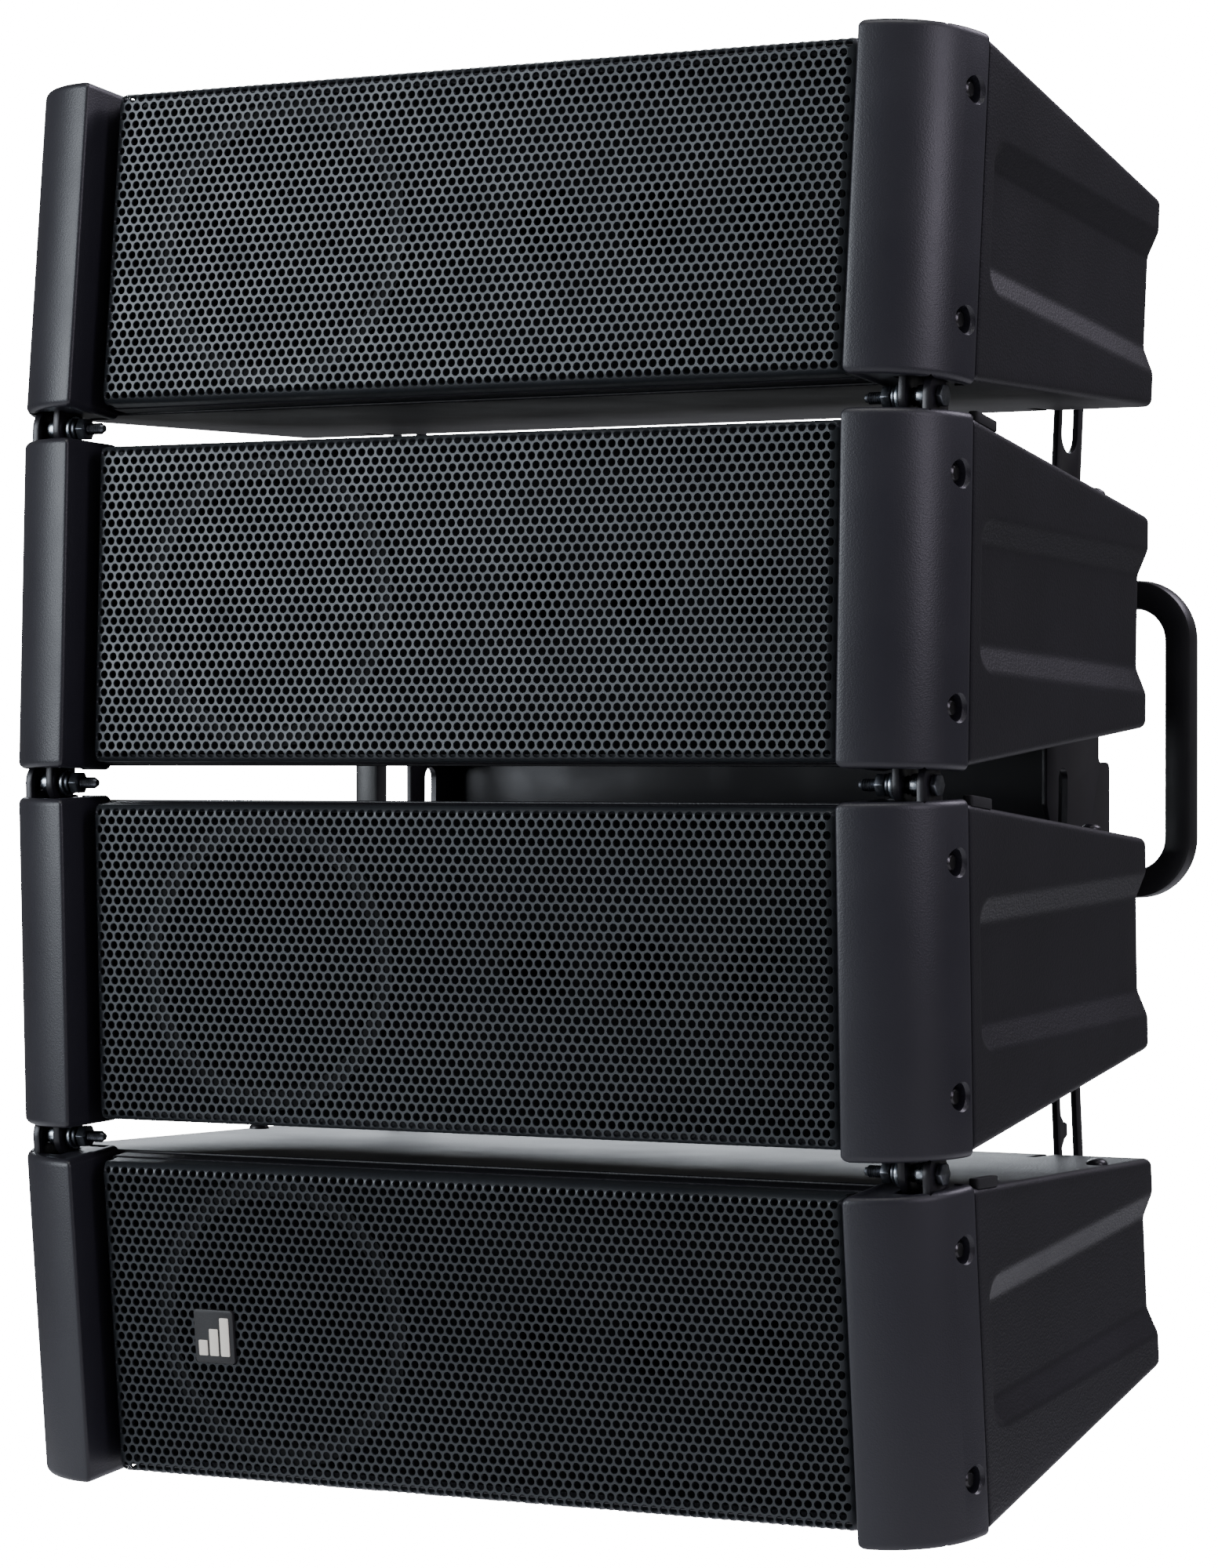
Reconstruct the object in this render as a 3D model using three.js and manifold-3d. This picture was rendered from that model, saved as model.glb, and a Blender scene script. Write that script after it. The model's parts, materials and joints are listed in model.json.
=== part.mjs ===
// Four-module variable-splay line array loudspeaker, built as separate pieces.
// Millimetres. +X is the listener's right when facing the grilles, +Y runs from the grilles
// to the rear, +Z is up. Each module is modelled level, with its own origin at the centre of
// the plane that touches the two front ridges, and is then pitched into the curved array.

import * as THREE from 'three';
import { mergeVertices } from 'three/addons/utils/BufferGeometryUtils.js';
import Module from 'manifold-3d';

const wasm = await Module();
wasm.setup();

// ---------------------------------------------------------------- driving dimensions

const MODULES = 4;
const REST_SPLAY = 4;              // degrees between neighbouring modules as stored
const HINGE_PITCH = 139.2;         // hinge axis to hinge axis on one module
const HINGE_Y = 23.5;              // hinge axis behind the front ridges
const GAP = 0.3;                   // air between pieces that touch on the real object

const PILLAR_HEIGHT = 128.5;
const RIDGE_X = 167;               // inner front edge of a corner pillar
const SEAM_X = 204;                // widest place, where pillar and side panel meet
const SEAM_Y = 34;
const PILLAR_WALL = 2.6;
const PILLAR_CAP = 3;
const PILLAR_EDGE = 2.4;           // rounding of the pillar's top and bottom edges
const PILLAR_SCREW_Y = 26;
const PILLAR_SCREW_Z = 41.9;
const PILLAR_SCREW_R = 5;

const REAR_Y = 218.3;
const REAR_X = 196.2;
const SEAM_HALF_HEIGHT = 62.7;
const REAR_HALF_HEIGHT = 41.1;
const REAR_ROUND = 5.5;
const SIDE_WALL = 8;
const SHELL_WALL = 4;
const TROUGH_HALF = 28.1;          // long recess along each side panel
const TROUGH_FLOOR_HALF = 18.1;
const TROUGH_DEPTH = 4.3;
const TROUGH_START_Y = 44;

const GRILLE_Y = 12.1;
const GRILLE_HALF_WIDTH = 161.4;
const GRILLE_HALF_HEIGHT = 61.5;
const GRILLE_SHEET = 1.6;
const GRILLE_FLANGE_Y = 21;
const GRILLE_BEND = 3.5;

const COLLAR_HALF_WIDTH = 164.5;
const COLLAR_HALF_HEIGHT = 62.4;
const COLLAR_FRONT_Y = 24.5;
const BAFFLE_HALF_WIDTH = 160.6;
const BAFFLE_HALF_HEIGHT = 58;
const BAFFLE_THICKNESS = 7;

const WOOFER_X = -88;
const WOOFER_FLANGE_R = 57;
const WOOFER_CUTOUT_R = 53;
const HORN_X = 78;
const TWEETERS = 3;
const TWEETER_PITCH = 46;
const TWEETER_R = 17;

const LUG_R = 8;
const LUG_SHEET = 3;
const LOWER_LUG_X = 182.3;         // inner plane: lug that hangs from the module above
const UPPER_LUG_X = 192;           // outer plane: lug that stands on the module below
const HINGE_BOLT_R = 3;
const HINGE_FOOT_X = 172;          // inner edge of the bracket's foot on the cabinet's shoulder

const LINK_X = 152.2;              // inner face of the outer modules' rear link plates
const LINK_SHEET = 2.5;
const LINK_FRONT_Y = 219.5;
const LINK_WIDTH = 24;
const LINK_HALF_LENGTH = 62;
const LINK_CORNER_R = 5;
const SLOT_WIDTH = 15.2;
const SLOT_Y = 230.8;             // middle of the bolt's sweep across the slot
const SLOT_END = 59.4;             // far end of each slot from the hinge plane
const SLOT_BRIDGE_LOW = 5;         // bridge between the two slots of the upper plates
const SLOT_BRIDGE_HIGH = 13.7;
const EAR_X = 155;
const EAR_WIDTH = 5;
const EAR_REAR_Y = 240;
const EAR_HALF_HEIGHT = 32;
const LINK_BOLT_Y = 227.5;
const LINK_BOLT_Z = 17;
const LINK_BOLT_R = 4;
const LINK_GROOVE_FLOOR_Y = 195;   // the plates swing into a groove in each rear wall
const LINK_GROOVE_AIR = 0.9;
const LINK_GROOVE_WALL = 3.6;

const CHEEK_X = 146.3;             // inner face of the middle bracket's cheeks
const CHEEK_BOLT_Y = 239;
const CHEEK_BOLT_Z = 24.5;
const FIN_X = 139;
const FIN_REAR_Y = 249;
const FIN_LOW_Z = 7;
const FIN_HIGH_Z = 37;
const CHEEK_SLOT_WIDTH = 9;
const WEB_Y = 262;

const HANDLE_FRONT_Y = 262;
const HANDLE_DEPTH = 9;
const HANDLE_BAR = 11.6;
const HANDLE_OUT_X = 196;
const HANDLE_TOP_Z = 81;
const HANDLE_BOTTOM_Z = -46.5;
const HANDLE_CORNER_R = 24.5;

const PANEL_HALF_WIDTH = 52;
const PANEL_HALF_HEIGHT = 24;
const PANEL_SHEET = 3;
const PANEL_HOLE_HALF_WIDTH = 46;
const PANEL_HOLE_HALF_HEIGHT = 19;
const SOCKET_X = 22;
const SOCKET_R = 12.5;
const SOCKET_BORE_R = 9.5;
const BOARD_Y = 196;               // crossover board on two posts behind the panel

const SPLAY_MAX = 14;              // degrees, where the clamp bolts meet their slots' ends
const DEG = Math.PI / 180;

// ---------------------------------------------------------------- finishes

const finish = (color, roughness, metalness) => ({ color, roughness, metalness });
const FINISHES = {
  cabinet: finish(0x17171b, 0.62, 0),
  pillar: finish(0x18191d, 0.5, 0),
  grille: finish(0x1d2022, 0.45, 0.6),
  baffle: finish(0x0d0d0e, 0.8, 0),
  horn: finish(0x111113, 0.5, 0),
  basket: finish(0x161616, 0.5, 0.7),
  cone: finish(0x0c0c0d, 0.85, 0),
  zinc: finish(0xb9bdc2, 0.3, 1),
  plate: finish(0x15151a, 0.45, 0.8),
  handle: finish(0x121216, 0.5, 0.3),
  panel: finish(0x141416, 0.55, 0),
};

// ---------------------------------------------------------------- solids and booleans

function toSolid(geometry) {
  const bare = geometry.index ? geometry.toNonIndexed() : geometry.clone();
  for (const name of Object.keys(bare.attributes)) {
    if (name !== 'position') bare.deleteAttribute(name);
  }
  const merged = mergeVertices(bare, 1e-4);
  const triangles = [];
  for (let i = 0; i < merged.index.count; i += 3) {
    const [a, b, c] = merged.index.array.slice(i, i + 3);
    if (a !== b && b !== c && c !== a) triangles.push(a, b, c);
  }
  return new wasm.Manifold(new wasm.Mesh({
    numProp: 3,
    vertProperties: Float32Array.from(merged.attributes.position.array),
    triVerts: Uint32Array.from(triangles),
  }));
}

function toGeometry(solid) {
  const mesh = solid.getMesh();
  const geometry = new THREE.BufferGeometry();
  geometry.setAttribute('position', new THREE.BufferAttribute(mesh.vertProperties, 3));
  geometry.setIndex(new THREE.BufferAttribute(mesh.triVerts, 1));
  return geometry;
}

const join = (...solids) => solids.reduce((sum, solid) => sum.add(solid));
const cut = (body, ...tools) => tools.reduce((rest, tool) => rest.subtract(tool), body);

function box(x0, x1, y0, y1, z0, z1) {
  const geometry = new THREE.BoxGeometry(x1 - x0, y1 - y0, z1 - z0);
  geometry.translate((x0 + x1) / 2, (y0 + y1) / 2, (z0 + z1) / 2);
  return toSolid(geometry);
}

function outline(points) {
  return new THREE.Shape(points.map(([a, b]) => new THREE.Vector2(a, b)));
}

// The outline lies in the X-Y plane and is drawn out along Z.
function alongZ(shape, z0, z1, curveSegments = 12) {
  const geometry = new THREE.ExtrudeGeometry(shape, { depth: z1 - z0, bevelEnabled: false, curveSegments });
  geometry.translate(0, 0, z0);
  return toSolid(geometry);
}

// The outline holds (y, z) pairs and is drawn out along X.
function alongX(shape, x0, x1, curveSegments = 4) {
  const geometry = new THREE.ExtrudeGeometry(shape, { depth: x1 - x0, bevelEnabled: false, curveSegments });
  const turn = new THREE.Matrix4().set(0, 0, 1, x0, 1, 0, 0, 0, 0, 1, 0, 0, 0, 0, 0, 1);
  geometry.applyMatrix4(turn);
  return toSolid(geometry);
}

// The outline holds (x, z) pairs and is drawn out along Y, with an optional rounded front edge.
function alongY(shape, y0, y1, round = 0) {
  const options = { depth: y1 - y0, bevelEnabled: false, curveSegments: 5 };
  if (round > 0) {
    options.depth = y1 - y0 - round;
    options.bevelEnabled = true;
    options.bevelThickness = round;
    options.bevelSize = round;
    options.bevelOffset = -round;
    options.bevelSegments = 2;
  }
  const geometry = new THREE.ExtrudeGeometry(shape, options);
  geometry.rotateX(Math.PI / 2);
  geometry.translate(0, y1, 0);
  const solid = toSolid(geometry);
  return round > 0 ? solid.intersect(box(-500, 500, y0, y1, -500, 500)) : solid;
}

function rodX(radius, x0, x1, y, z, segments = 10) {
  const geometry = new THREE.CylinderGeometry(radius, radius, x1 - x0, segments);
  geometry.rotateZ(Math.PI / 2);
  geometry.translate((x0 + x1) / 2, y, z);
  return toSolid(geometry);
}

function rodY(radiusFront, radiusRear, x, y0, y1, z, segments = 14) {
  const geometry = new THREE.CylinderGeometry(radiusRear, radiusFront, y1 - y0, segments);
  geometry.translate(x, (y0 + y1) / 2, z);
  return toSolid(geometry);
}

function turnedY(profile, segments = 20) {
  return toSolid(new THREE.LatheGeometry(profile.map(([r, y]) => new THREE.Vector2(r, y)), segments));
}

function rectangle(halfWidth, halfHeight) {
  return outline([
    [-halfWidth, -halfHeight],
    [halfWidth, -halfHeight],
    [halfWidth, halfHeight],
    [-halfWidth, halfHeight],
  ]);
}

// An upright round-ended slot between two heights, cut through along X.
function uprightSlot(x0, x1, y, zLow, zHigh, width) {
  const r = width / 2;
  const shape = new THREE.Shape();
  shape.moveTo(y - r, zLow + r);
  shape.lineTo(y - r, zHigh - r);
  shape.absarc(y, zHigh - r, r, Math.PI, 0, true);
  shape.lineTo(y + r, zLow + r);
  shape.absarc(y, zLow + r, r, 0, -Math.PI, true);
  return alongX(shape, x0, x1);
}

// A slot that follows an arc about the point (y, z) between two angles, cut through along X.
function arcSlot(x0, x1, y, z, radius, from, to, width) {
  const r = width / 2;
  const shape = new THREE.Shape();
  shape.absarc(y, z, radius + r, from, to, false);
  shape.absarc(y + radius * Math.cos(to), z + radius * Math.sin(to), r, to, to + Math.PI, false);
  shape.absarc(y, z, radius - r, to, from, true);
  shape.absarc(y + radius * Math.cos(from), z + radius * Math.sin(from), r, from + Math.PI, from, false);
  return alongX(shape, x0, x1, 8);
}

const mirrorX = (solid) => solid.mirror([1, 0, 0]);
const sided = (solid, side) => (side > 0 ? solid : mirrorX(solid));
const SIDES = { right: 1, left: -1 };

// ---------------------------------------------------------------- cabinet

const taper = (SEAM_HALF_HEIGHT - REAR_HALF_HEIGHT) / (REAR_Y - SEAM_Y);
const halfHeightAt = (y) => SEAM_HALF_HEIGHT - taper * (y - SEAM_Y);

function wedgeOutline(inset, frontY, rearY, round) {
  const front = halfHeightAt(frontY) - inset;
  const rear = halfHeightAt(rearY) - inset;
  const slope = Math.atan(taper);
  const shape = new THREE.Shape();
  shape.moveTo(frontY, -front);
  shape.lineTo(rearY - round, -rear - taper * round);
  shape.absarc(rearY - round, -rear - taper * round + round, round, -Math.PI / 2 + slope, 0, false);
  shape.absarc(rearY - round, rear + taper * round - round, round, 0, Math.PI / 2 - slope, false);
  shape.lineTo(frontY, front);
  return shape;
}

function planOutline(inset, frontY, rearY) {
  const draft = (SEAM_X - REAR_X) / (REAR_Y - SEAM_Y);
  const halfWidth = (y) => SEAM_X - draft * (y - SEAM_Y) - inset;
  return outline([
    [-halfWidth(frontY), frontY],
    [halfWidth(frontY), frontY],
    [halfWidth(rearY), rearY],
    [-halfWidth(rearY), rearY],
  ]);
}

function shellBody(inset, sideInset, frontY, rearY, round) {
  const wedge = alongX(wedgeOutline(inset, frontY, rearY, round), -260, 260);
  const plan = alongZ(planOutline(sideInset, frontY, rearY), -100, 100);
  return wedge.intersect(plan);
}

// Recess along a side panel: sloped flanks, a rounded front end, open at the rear.
function troughTool() {
  const run = TROUGH_HALF - TROUGH_FLOOR_HALF;
  const points = [
    [SEAM_X + 6, -TROUGH_HALF - run],
    [SEAM_X + 6, TROUGH_HALF + run],
    [SEAM_X, TROUGH_HALF],
    [SEAM_X - TROUGH_DEPTH, TROUGH_FLOOR_HALF],
    [SEAM_X - TROUGH_DEPTH, -TROUGH_FLOOR_HALF],
    [SEAM_X, -TROUGH_HALF],
  ];
  const section = outline(points);
  const geometry = new THREE.ExtrudeGeometry(section, { depth: 240, bevelEnabled: false });
  geometry.rotateX(Math.PI / 2);
  geometry.translate(0, TROUGH_START_Y + 240, 0);
  const draftAngle = Math.atan((SEAM_X - REAR_X) / (REAR_Y - SEAM_Y));
  geometry.translate(-SEAM_X, -SEAM_Y, 0);
  geometry.rotateZ(draftAngle);
  geometry.translate(SEAM_X, SEAM_Y, 0);
  return toSolid(geometry);
}

// Groove, ear and, beside the middle hinge, fin on one side of a cabinet's rear wall.
function withRearRigging(body, side, index) {
  const grooveX0 = LINK_X - LINK_GROOVE_AIR;
  const grooveX1 = LINK_X + LINK_SHEET + LINK_GROOVE_AIR;
  const rib = box(
    grooveX0 - LINK_GROOVE_WALL, grooveX1 + LINK_GROOVE_WALL,
    LINK_GROOVE_FLOOR_Y - LINK_GROOVE_WALL, REAR_Y - 1,
    -60, 60,
  );
  const inside = shellBody(1, 1, SEAM_Y + 10, REAR_Y - 1, 1);
  const groove = box(grooveX0, grooveX1, LINK_GROOVE_FLOOR_Y, REAR_Y + 40, -70, 70);
  const ear = box(EAR_X, EAR_X + EAR_WIDTH, REAR_Y - 3, EAR_REAR_Y, -EAR_HALF_HEIGHT, EAR_HALF_HEIGHT);
  let rigged = join(body, sided(rib, side).intersect(inside), sided(ear, side));
  rigged = cut(rigged, sided(groove, side));
  for (const z of [-LINK_BOLT_Z, LINK_BOLT_Z]) {
    const hole = rodX(LINK_BOLT_R + GAP, EAR_X - 1, EAR_X + EAR_WIDTH + 1, LINK_BOLT_Y, z);
    rigged = cut(rigged, sided(hole, side));
  }
  if (index === 2 || index === 3) {
    const up = index === 3 ? 1 : -1;
    const lowest = Math.min(up * FIN_LOW_Z, up * FIN_HIGH_Z);
    const fin = box(FIN_X, CHEEK_X - GAP, REAR_Y - 3, FIN_REAR_Y, lowest, lowest + FIN_HIGH_Z - FIN_LOW_Z);
    const hole = rodX(LINK_BOLT_R + GAP, FIN_X - 1, CHEEK_X + 1, CHEEK_BOLT_Y, up * CHEEK_BOLT_Z);
    rigged = cut(join(rigged, sided(fin, side)), sided(hole, side));
  }
  return rigged;
}

function cabinetGeometry(index) {
  const innerHalfHeight = COLLAR_HALF_HEIGHT - SHELL_WALL;
  const collar = box(
    -COLLAR_HALF_WIDTH, COLLAR_HALF_WIDTH,
    COLLAR_FRONT_Y, SEAM_Y + 6,
    -COLLAR_HALF_HEIGHT, COLLAR_HALF_HEIGHT,
  );
  let body = join(shellBody(0, 0, SEAM_Y + GAP, REAR_Y, REAR_ROUND), collar);
  const cavity = shellBody(SHELL_WALL, SIDE_WALL, SEAM_Y + GAP + SHELL_WALL, REAR_Y - SHELL_WALL, 1);
  const mouth = box(
    -BAFFLE_HALF_WIDTH - GAP, BAFFLE_HALF_WIDTH + GAP,
    COLLAR_FRONT_Y - 1, SEAM_Y + 10,
    -innerHalfHeight, innerHalfHeight,
  );
  body = cut(body, cavity, mouth);
  for (const side of Object.values(SIDES)) {
    body = withRearRigging(body, side, index);
    body = cut(body, sided(troughTool(), side));
  }
  if (index === MODULES) {
    body = cut(body, box(
      -PANEL_HOLE_HALF_WIDTH, PANEL_HOLE_HALF_WIDTH,
      REAR_Y - 10, REAR_Y + 5,
      -PANEL_HOLE_HALF_HEIGHT, PANEL_HOLE_HALF_HEIGHT,
    ));
  }
  return toGeometry(body);
}

// ---------------------------------------------------------------- front: baffle, drivers, grille

function baffleGeometry() {
  const y0 = COLLAR_FRONT_Y;
  const plate = box(-BAFFLE_HALF_WIDTH, BAFFLE_HALF_WIDTH, y0, y0 + BAFFLE_THICKNESS,
    -BAFFLE_HALF_HEIGHT, BAFFLE_HALF_HEIGHT);
  const half = (TWEETER_PITCH * (TWEETERS - 1)) / 2 + TWEETER_R + 3;
  return toGeometry(cut(
    plate,
    rodY(WOOFER_CUTOUT_R, WOOFER_CUTOUT_R, WOOFER_X, y0 - 1, y0 + BAFFLE_THICKNESS + 1, 0, 20),
    box(HORN_X - half, HORN_X + half, y0 - 1, y0 + BAFFLE_THICKNESS + 1, -TWEETER_R - 3, TWEETER_R + 3),
  ));
}

// Pressed chassis with its magnet behind it; the bowl is open to the front.
function wooferFrameGeometry() {
  const flangeRear = COLLAR_FRONT_Y - GAP;
  const profile = [
    [0, 62],
    [20, 62],
    [24, 58],
    [47.5, 30],
    [49.5, flangeRear - 2.2],
    [WOOFER_FLANGE_R, flangeRear - 2.2],
    [WOOFER_FLANGE_R, flangeRear],
    [WOOFER_CUTOUT_R - 1.5, flangeRear],
    [50, 32],
    [27, 61],
    [36, 61],
    [36, 84],
    [0, 84],
  ];
  const frame = turnedY(profile);
  return toGeometry(frame.translate([WOOFER_X, 0, 0]));
}

function wooferConeGeometry() {
  const profile = [
    [0, 38.5],
    [9, 40],
    [14.5, 43.5],
    [41, 26.5],
    [46, 25.5],
    [46, 27],
    [41.5, 28.5],
    [15, 46],
    [13.5, 57],
    [12, 57],
    [12, 45],
    [0, 40.5],
  ];
  return toGeometry(turnedY(profile).translate([WOOFER_X, 0, 0]));
}

function hornGeometry() {
  const rear = COLLAR_FRONT_Y - GAP;
  let body = box(HORN_X - 76, HORN_X + 76, rear - 2.4, rear, -47, 47);
  for (let i = 0; i < TWEETERS; i += 1) {
    const x = HORN_X + (i - (TWEETERS - 1) / 2) * TWEETER_PITCH;
    body = join(body, rodY(TWEETER_R, TWEETER_R, x, rear - 1.2, 54, 0));
    body = cut(body, rodY(15, 8, x, rear - 3, 38, 0));
  }
  return toGeometry(body);
}

function grilleGeometry() {
  const outer = alongY(
    rectangle(GRILLE_HALF_WIDTH, GRILLE_HALF_HEIGHT),
    GRILLE_Y, GRILLE_FLANGE_Y, GRILLE_BEND,
  );
  const inner = alongY(
    rectangle(GRILLE_HALF_WIDTH - GRILLE_SHEET, GRILLE_HALF_HEIGHT - GRILLE_SHEET),
    GRILLE_Y + GRILLE_SHEET, GRILLE_FLANGE_Y + 5, GRILLE_BEND - GRILLE_SHEET,
  );
  return toGeometry(cut(outer, inner));
}

// ---------------------------------------------------------------- corner pillars and hinges

function pillarOutline(inset, rearY) {
  const shape = new THREE.Shape();
  shape.moveTo(RIDGE_X + inset, rearY);
  shape.lineTo(RIDGE_X + inset, inset);
  shape.bezierCurveTo(186 - inset * 0.4, inset, 202.5 - inset, 12 + inset * 0.6, SEAM_X - inset, SEAM_Y);
  if (rearY > SEAM_Y) shape.lineTo(SEAM_X - inset, rearY);
  return shape;
}

function pillarGeometry(side) {
  const half = PILLAR_HEIGHT / 2;
  const options = {
    depth: PILLAR_HEIGHT - 2 * PILLAR_EDGE,
    bevelEnabled: true,
    bevelThickness: PILLAR_EDGE,
    bevelSize: PILLAR_EDGE,
    bevelOffset: -PILLAR_EDGE,
    bevelSegments: 1,
    curveSegments: 7,
  };
  const rounded = new THREE.ExtrudeGeometry(pillarOutline(0, SEAM_Y + 8), options);
  rounded.translate(0, 0, -half + PILLAR_EDGE);
  let body = toSolid(rounded).intersect(box(100, 260, -10, SEAM_Y, -half - 1, half + 1));
  const hollow = alongZ(pillarOutline(PILLAR_WALL, SEAM_Y + 10), -half + PILLAR_CAP, half - PILLAR_CAP, 5);
  body = cut(body, hollow);
  const lugSlot = box(
    LOWER_LUG_X - 1.5, UPPER_LUG_X + LUG_SHEET + 1,
    HINGE_Y - LUG_R - 1.6, SEAM_Y + 5,
    -PILLAR_HEIGHT, PILLAR_HEIGHT,
  );
  body = cut(body, lugSlot);
  for (const z of [-PILLAR_SCREW_Z, PILLAR_SCREW_Z]) {
    body = cut(body, rodX(PILLAR_SCREW_R, 192, 212, PILLAR_SCREW_Y, z, 12));
  }
  return toGeometry(sided(body, side));
}

// Steel bracket on the cabinet's front shoulder. Its upper lug stands in the outer plane and
// its lower lug hangs in the inner plane, so that neighbouring modules interleave. The free
// ends of the array carry no lug.
function hingeBracketGeometry(side, index) {
  const half = HINGE_PITCH / 2;
  const y0 = HINGE_Y - LUG_R;
  const y1 = HINGE_Y + LUG_R;
  const lug = (x, z, towards) => join(
    rodX(LUG_R, x, x + LUG_SHEET, HINGE_Y, z, 14),
    box(x, x + LUG_SHEET, y0, y1, Math.min(z, z - towards * 30), Math.max(z, z - towards * 30)),
  );
  let body = join(
    box(LOWER_LUG_X, LOWER_LUG_X + LUG_SHEET, y0, y1, -half + 20, half - 27),
    box(LOWER_LUG_X, UPPER_LUG_X + LUG_SHEET, y0, y1, half - 30, half - 27),
    box(HINGE_FOOT_X, LOWER_LUG_X + LUG_SHEET, SEAM_Y - LUG_SHEET, SEAM_Y, -42, 38),
    box(LOWER_LUG_X, LOWER_LUG_X + LUG_SHEET, y0 + 2, SEAM_Y, -42, 38),
  );
  if (index > 1) body = join(body, lug(UPPER_LUG_X, half, 1));
  if (index < MODULES) body = join(body, lug(LOWER_LUG_X, -half, -1));
  for (const z of [-half, half]) {
    body = cut(body, rodX(HINGE_BOLT_R + GAP, 170, 210, HINGE_Y, z));
  }
  return toGeometry(sided(body, side));
}

// Bolt, washer stack and nut on the hinge axis; the thread points to the middle of the array.
function hingeBoltGeometry(side) {
  const nutOuter = LOWER_LUG_X - 2.2;
  const body = join(
    rodX(HINGE_BOLT_R, RIDGE_X, UPPER_LUG_X + LUG_SHEET + 1, 0, 0),
    rodX(4.9, nutOuter - 5, nutOuter, 0, 0, 6),
    rodX(4.9, nutOuter, LOWER_LUG_X - GAP, 0, 0),
    rodX(4.4, LOWER_LUG_X + LUG_SHEET + 1.4, UPPER_LUG_X - 1.1, 0, 0),
    rodX(4.6, UPPER_LUG_X + LUG_SHEET + GAP, UPPER_LUG_X + LUG_SHEET + 3, 0, 0),
  );
  return toGeometry(sided(body, side));
}

// ---------------------------------------------------------------- rear links, bracket and handles

function roundedPlate(y0, y1, z0, z1, r) {
  const shape = new THREE.Shape();
  shape.moveTo(y0 + r, z0);
  shape.lineTo(y1 - r, z0);
  shape.absarc(y1 - r, z0 + r, r, -Math.PI / 2, 0, false);
  shape.lineTo(y1, z1 - r);
  shape.absarc(y1 - r, z1 - r, r, 0, Math.PI / 2, false);
  shape.lineTo(y0 + r, z1);
  shape.absarc(y0 + r, z1 - r, r, Math.PI / 2, Math.PI, false);
  shape.lineTo(y0, z0 + r);
  shape.absarc(y0 + r, z0 + r, r, Math.PI, 1.5 * Math.PI, false);
  return shape;
}

// Both plates are drawn about their hinge plane (z = 0) in the frame of the module that holds
// them. The upper pair has two separate slots; the lower pair has one slot with a gate tooth.
function linkPlateGeometry(side, gated) {
  const x0 = LINK_X;
  const x1 = LINK_X + LINK_SHEET;
  const sheet = roundedPlate(
    LINK_FRONT_Y, LINK_FRONT_Y + LINK_WIDTH,
    -LINK_HALF_LENGTH, LINK_HALF_LENGTH,
    LINK_CORNER_R,
  );
  const slot = (low, high) => uprightSlot(x0 - 1, x1 + 1, SLOT_Y, low, high, SLOT_WIDTH);
  let body = alongX(sheet, x0, x1);
  if (gated) {
    const tooth = outline([
      [SLOT_Y - SLOT_WIDTH, -27],
      [SLOT_Y - 5, -24],
      [SLOT_Y - 2, -23],
      [SLOT_Y - 2, -18],
      [SLOT_Y - 5, -17],
      [SLOT_Y - SLOT_WIDTH, -14],
    ]);
    body = cut(body, cut(slot(-SLOT_END, SLOT_END), alongX(tooth, x0 - 2, x1 + 2)));
  } else {
    body = cut(body, slot(-SLOT_END, SLOT_BRIDGE_LOW), slot(SLOT_BRIDGE_HIGH, SLOT_END));
  }
  return toGeometry(sided(body, side));
}

// Folded steel bracket behind the two middle modules: two cheeks and a web between them.
// Drawn upright about the middle hinge.
function rearBracketGeometry() {
  const x1 = CHEEK_X + LINK_SHEET;
  const cheek = outline([
    [228, -9],
    [228, 86],
    [231, 89],
    [277, 89],
    [280, 86],
    [280, 10],
    [282, 8],
    [289, 8],
    [291, 6],
    [291, -65],
    [288, -68],
    [252, -68],
  ]);
  const armY = CHEEK_BOLT_Y - HINGE_Y;
  const armZ = CHEEK_BOLT_Z - HINGE_PITCH / 2;
  const radius = Math.hypot(armY, armZ);
  const atZero = Math.atan2(armZ, armY) - (REST_SPLAY / 2) * DEG;
  const slot = arcSlot(CHEEK_X - 1, x1 + 1, HINGE_Y, 0, radius,
    atZero - 0.2 * DEG, atZero + (SPLAY_MAX + 0.2) * DEG, CHEEK_SLOT_WIDTH);
  const web = box(-x1, x1, WEB_Y, WEB_Y + LINK_SHEET, -30, 40);
  const right = cut(alongX(cheek, CHEEK_X, x1), slot);
  return toGeometry(join(right, mirrorX(right), web));
}

function handleGeometry(side) {
  const x0 = CHEEK_X + LINK_SHEET + GAP;
  const loop = (inset) => {
    const r = HANDLE_CORNER_R - inset;
    const top = HANDLE_TOP_Z - inset;
    const bottom = HANDLE_BOTTOM_Z + inset;
    const out = HANDLE_OUT_X - inset;
    const shape = new THREE.Shape();
    shape.moveTo(x0 - inset, bottom);
    shape.lineTo(out - r, bottom);
    shape.absarc(out - r, bottom + r, r, -Math.PI / 2, 0, false);
    shape.lineTo(out, top - r);
    shape.absarc(out - r, top - r, r, 0, Math.PI / 2, false);
    shape.lineTo(x0 - inset, top);
    return shape;
  };
  const outer = alongY(loop(0), HANDLE_FRONT_Y, HANDLE_FRONT_Y + HANDLE_DEPTH);
  const inner = alongY(loop(HANDLE_BAR), HANDLE_FRONT_Y - 1, HANDLE_FRONT_Y + HANDLE_DEPTH + 1);
  return toGeometry(sided(cut(outer, inner), side));
}

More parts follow.
